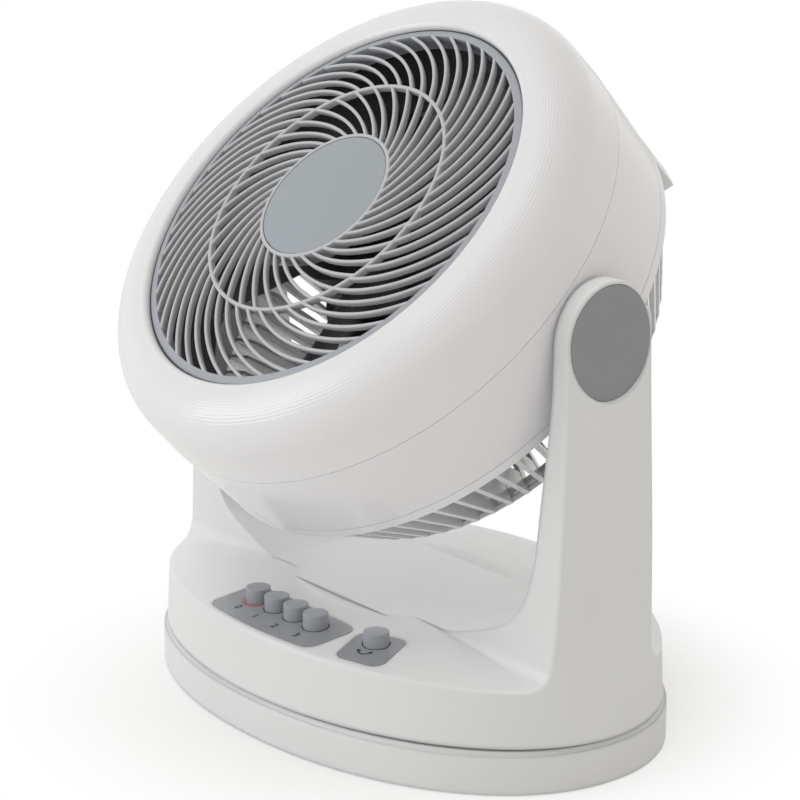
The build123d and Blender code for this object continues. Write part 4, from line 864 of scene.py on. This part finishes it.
class CIRCULATOR_OT_stage(bpy.types.Operator):
    """Set out the pale floor, the soft lights and the camera"""
    bl_idname = "circulator.stage"
    bl_label = "Stage"

    def execute(self, context):
        stage = context.scene.circulator_stage
        self.floor(stage)
        self.room(context, stage)
        self.lamp("front_light", stage.key)
        self.lamp("top_light", stage.top)
        # The deck light stands for light thrown back under the head. It reaches only the deck's
        # pieces and the keys, and nothing shades it.
        reached = bpy.data.collections.new("deck_light_reaches")
        context.scene.collection.children.link(reached)
        for made in bpy.data.objects:
            if made.name in DECK_PIECES or made.name.endswith("_key"):
                reached.objects.link(made)
        deck_light = self.lamp("deck_light", stage.deck)
        deck_light.data.use_shadow = False
        deck_light.light_linking.receiver_collection = reached
        self.camera(context, stage)
        return {"FINISHED"}

    def floor(self, stage):
        """A level floor that the camera sees fade to white away from the object."""
        reach, fade_start, fade_end = 30.0, 0.06, 0.24
        corners = [(-reach, -reach, 0), (reach, -reach, 0), (reach, reach, 0), (-reach, reach, 0)]
        mesh = bpy.data.meshes.new("floor")
        mesh.from_pydata(corners, [], [(0, 1, 2, 3)])
        made = bpy.data.objects.new("floor", mesh)
        bpy.context.scene.collection.objects.link(made)
        surface = bpy.data.materials.new("pale_floor")
        surface.use_nodes = True
        tree = surface.node_tree
        tree.nodes.clear()
        place = add_node(tree, "ShaderNodeTexCoord", {}).outputs["Object"]
        away = add_node(tree, "ShaderNodeVectorMath", {0: place}, operation="LENGTH")
        fade = add_node(tree, "ShaderNodeMapRange", {
            "Value": away.outputs["Value"], "From Min": fade_start, "From Max": fade_end,
            "To Min": 0.0, "To Max": 1.0}, interpolation_type="SMOOTHSTEP").outputs["Result"]
        seen = add_node(tree, "ShaderNodeLightPath", {}).outputs["Is Camera Ray"]
        share = add_node(tree, "ShaderNodeMath", {0: fade, 1: seen}, operation="MULTIPLY")
        matt = add_node(tree, "ShaderNodeBsdfDiffuse", {"Color": (*stage.floor, 1)})
        white = add_node(tree, "ShaderNodeEmission", {"Color": (1, 1, 1, 1), "Strength": 1.0})
        mix = add_node(tree, "ShaderNodeMixShader", {
            0: share.outputs[0], 1: matt.outputs[0], 2: white.outputs[0]})
        add_node(tree, "ShaderNodeOutputMaterial", {"Surface": mix.outputs[0]})
        mesh.materials.append(surface)

    def room(self, context, stage):
        """Even room light, a little warm, that the camera, mirrors and glass see as white."""
        world = bpy.data.worlds.new("room")
        context.scene.world = world
        world.use_nodes = True
        tree = world.node_tree
        tree.nodes.clear()
        path = add_node(tree, "ShaderNodeLightPath", {})
        dim = add_node(tree, "ShaderNodeBackground", {
            "Color": (1.0, 0.97, 0.915, 1), "Strength": stage.sky})
        white = add_node(tree, "ShaderNodeBackground", {"Color": (1, 1, 1, 1), "Strength": 1.0})
        mirrored = add_node(tree, "ShaderNodeMath", {
            0: path.outputs["Is Glossy Ray"], 1: path.outputs["Is Transmission Ray"]})
        shown = add_node(tree, "ShaderNodeMath", {
            0: path.outputs["Is Camera Ray"], 1: mirrored.outputs[0]}, use_clamp=True)
        mix = add_node(tree, "ShaderNodeMixShader", {
            0: shown.outputs[0], 1: dim.outputs[0], 2: white.outputs[0]})
        add_node(tree, "ShaderNodeOutputWorld", {"Surface": mix.outputs[0]})

    def lamp(self, name, strength):
        """A square soft light that faces the middle of the object."""
        place, colour = LAMPS[name]
        data = bpy.data.lights.new(name, "AREA")
        data.energy, data.size, data.color = strength, LAMP_WIDTH, colour
        made = bpy.data.objects.new(name, data)
        bpy.context.scene.collection.objects.link(made)
        aim = (Vector(LAMP_TARGET) - Vector(place)).to_track_quat("-Z", "Y")
        made.matrix_world = Matrix.Translation(place) @ aim.to_matrix().to_4x4()
        return made

    def camera(self, context, stage):
        """The camera stands at T + D b, with b toward it, r to its right and u up, leaning by
        the roll."""
        turn, rise, lean = (math.radians(v) for v in (stage.azimuth, stage.elevation, stage.roll))
        back = np.array([math.sin(turn) * math.cos(rise), -math.cos(turn) * math.cos(rise),
                         math.sin(rise)])
        right = np.array([math.cos(turn), math.sin(turn), 0.0])
        up = np.cross(back, right)
        target = right * stage.target_shift + np.array([0, 0, stage.target_height])
        place = target + back * stage.distance
        leaning = math.cos(lean) * right + math.sin(lean) * up
        upright = math.cos(lean) * up - math.sin(lean) * right
        data = bpy.data.cameras.new("camera")
        data.lens, data.sensor_width = stage.lens, 36.0
        data.clip_start, data.clip_end = 0.05, 60.0
        made = bpy.data.objects.new("camera", data)
        context.scene.collection.objects.link(made)
        rows = np.stack([leaning, upright, back, place], 1).tolist()
        made.matrix_world = Matrix((*rows, (0, 0, 0, 1)))
        context.scene.camera = made
        context.scene.view_settings.view_transform = "Standard"


class CIRCULATOR_PT_dressing(bpy.types.Panel):
    """The circulator's pieces, each with its button"""
    bl_idname = "CIRCULATOR_PT_dressing"
    bl_label = "Air circulator"
    bl_space_type = "VIEW_3D"
    bl_region_type = "UI"
    bl_category = "Circulator"

    def draw(self, context):
        for operator in OPERATORS:
            self.layout.operator(operator.bl_idname)
        for name, group in GROUPS.items():
            box = self.layout.box()
            box.label(text=group.__doc__)
            for key in group.__annotations__:
                box.prop(getattr(context.scene, name), key)


GROUPS = {
    "circulator_finish": CirculatorFinish,
    "circulator_shell": CirculatorShell,
    "circulator_grille": CirculatorGrille,
    "circulator_rear": CirculatorRear,
    "circulator_base": CirculatorBase,
    "circulator_controls": CirculatorControls,
    "circulator_stage": CirculatorStage,
}
OPERATORS = (
    CIRCULATOR_OT_finishes,
    CIRCULATOR_OT_front_shell,
    CIRCULATOR_OT_front_grille,
    CIRCULATOR_OT_rear_webs,
    CIRCULATOR_OT_base_skin,
    CIRCULATOR_OT_buttons,
    CIRCULATOR_OT_marks,
    CIRCULATOR_OT_stage,
)


def register():
    """Adds the classes and hangs the property groups on the scene."""
    for kind in (*GROUPS.values(), *OPERATORS, CIRCULATOR_PT_dressing):
        bpy.utils.register_class(kind)
    for name, group in GROUPS.items():
        setattr(bpy.types.Scene, name, PointerProperty(type=group))


def unregister():
    """Takes the property groups and the classes away again."""
    for name in GROUPS:
        delattr(bpy.types.Scene, name)
    for kind in (CIRCULATOR_PT_dressing, *OPERATORS[::-1], *list(GROUPS.values())[::-1]):
        bpy.utils.unregister_class(kind)


def main():
    """Dresses the frame piece by piece."""
    register()
    for operator in OPERATORS:
        group, name = operator.bl_idname.split(".")
        getattr(getattr(bpy.ops, group), name)()


if __name__ == "__main__":
    main()
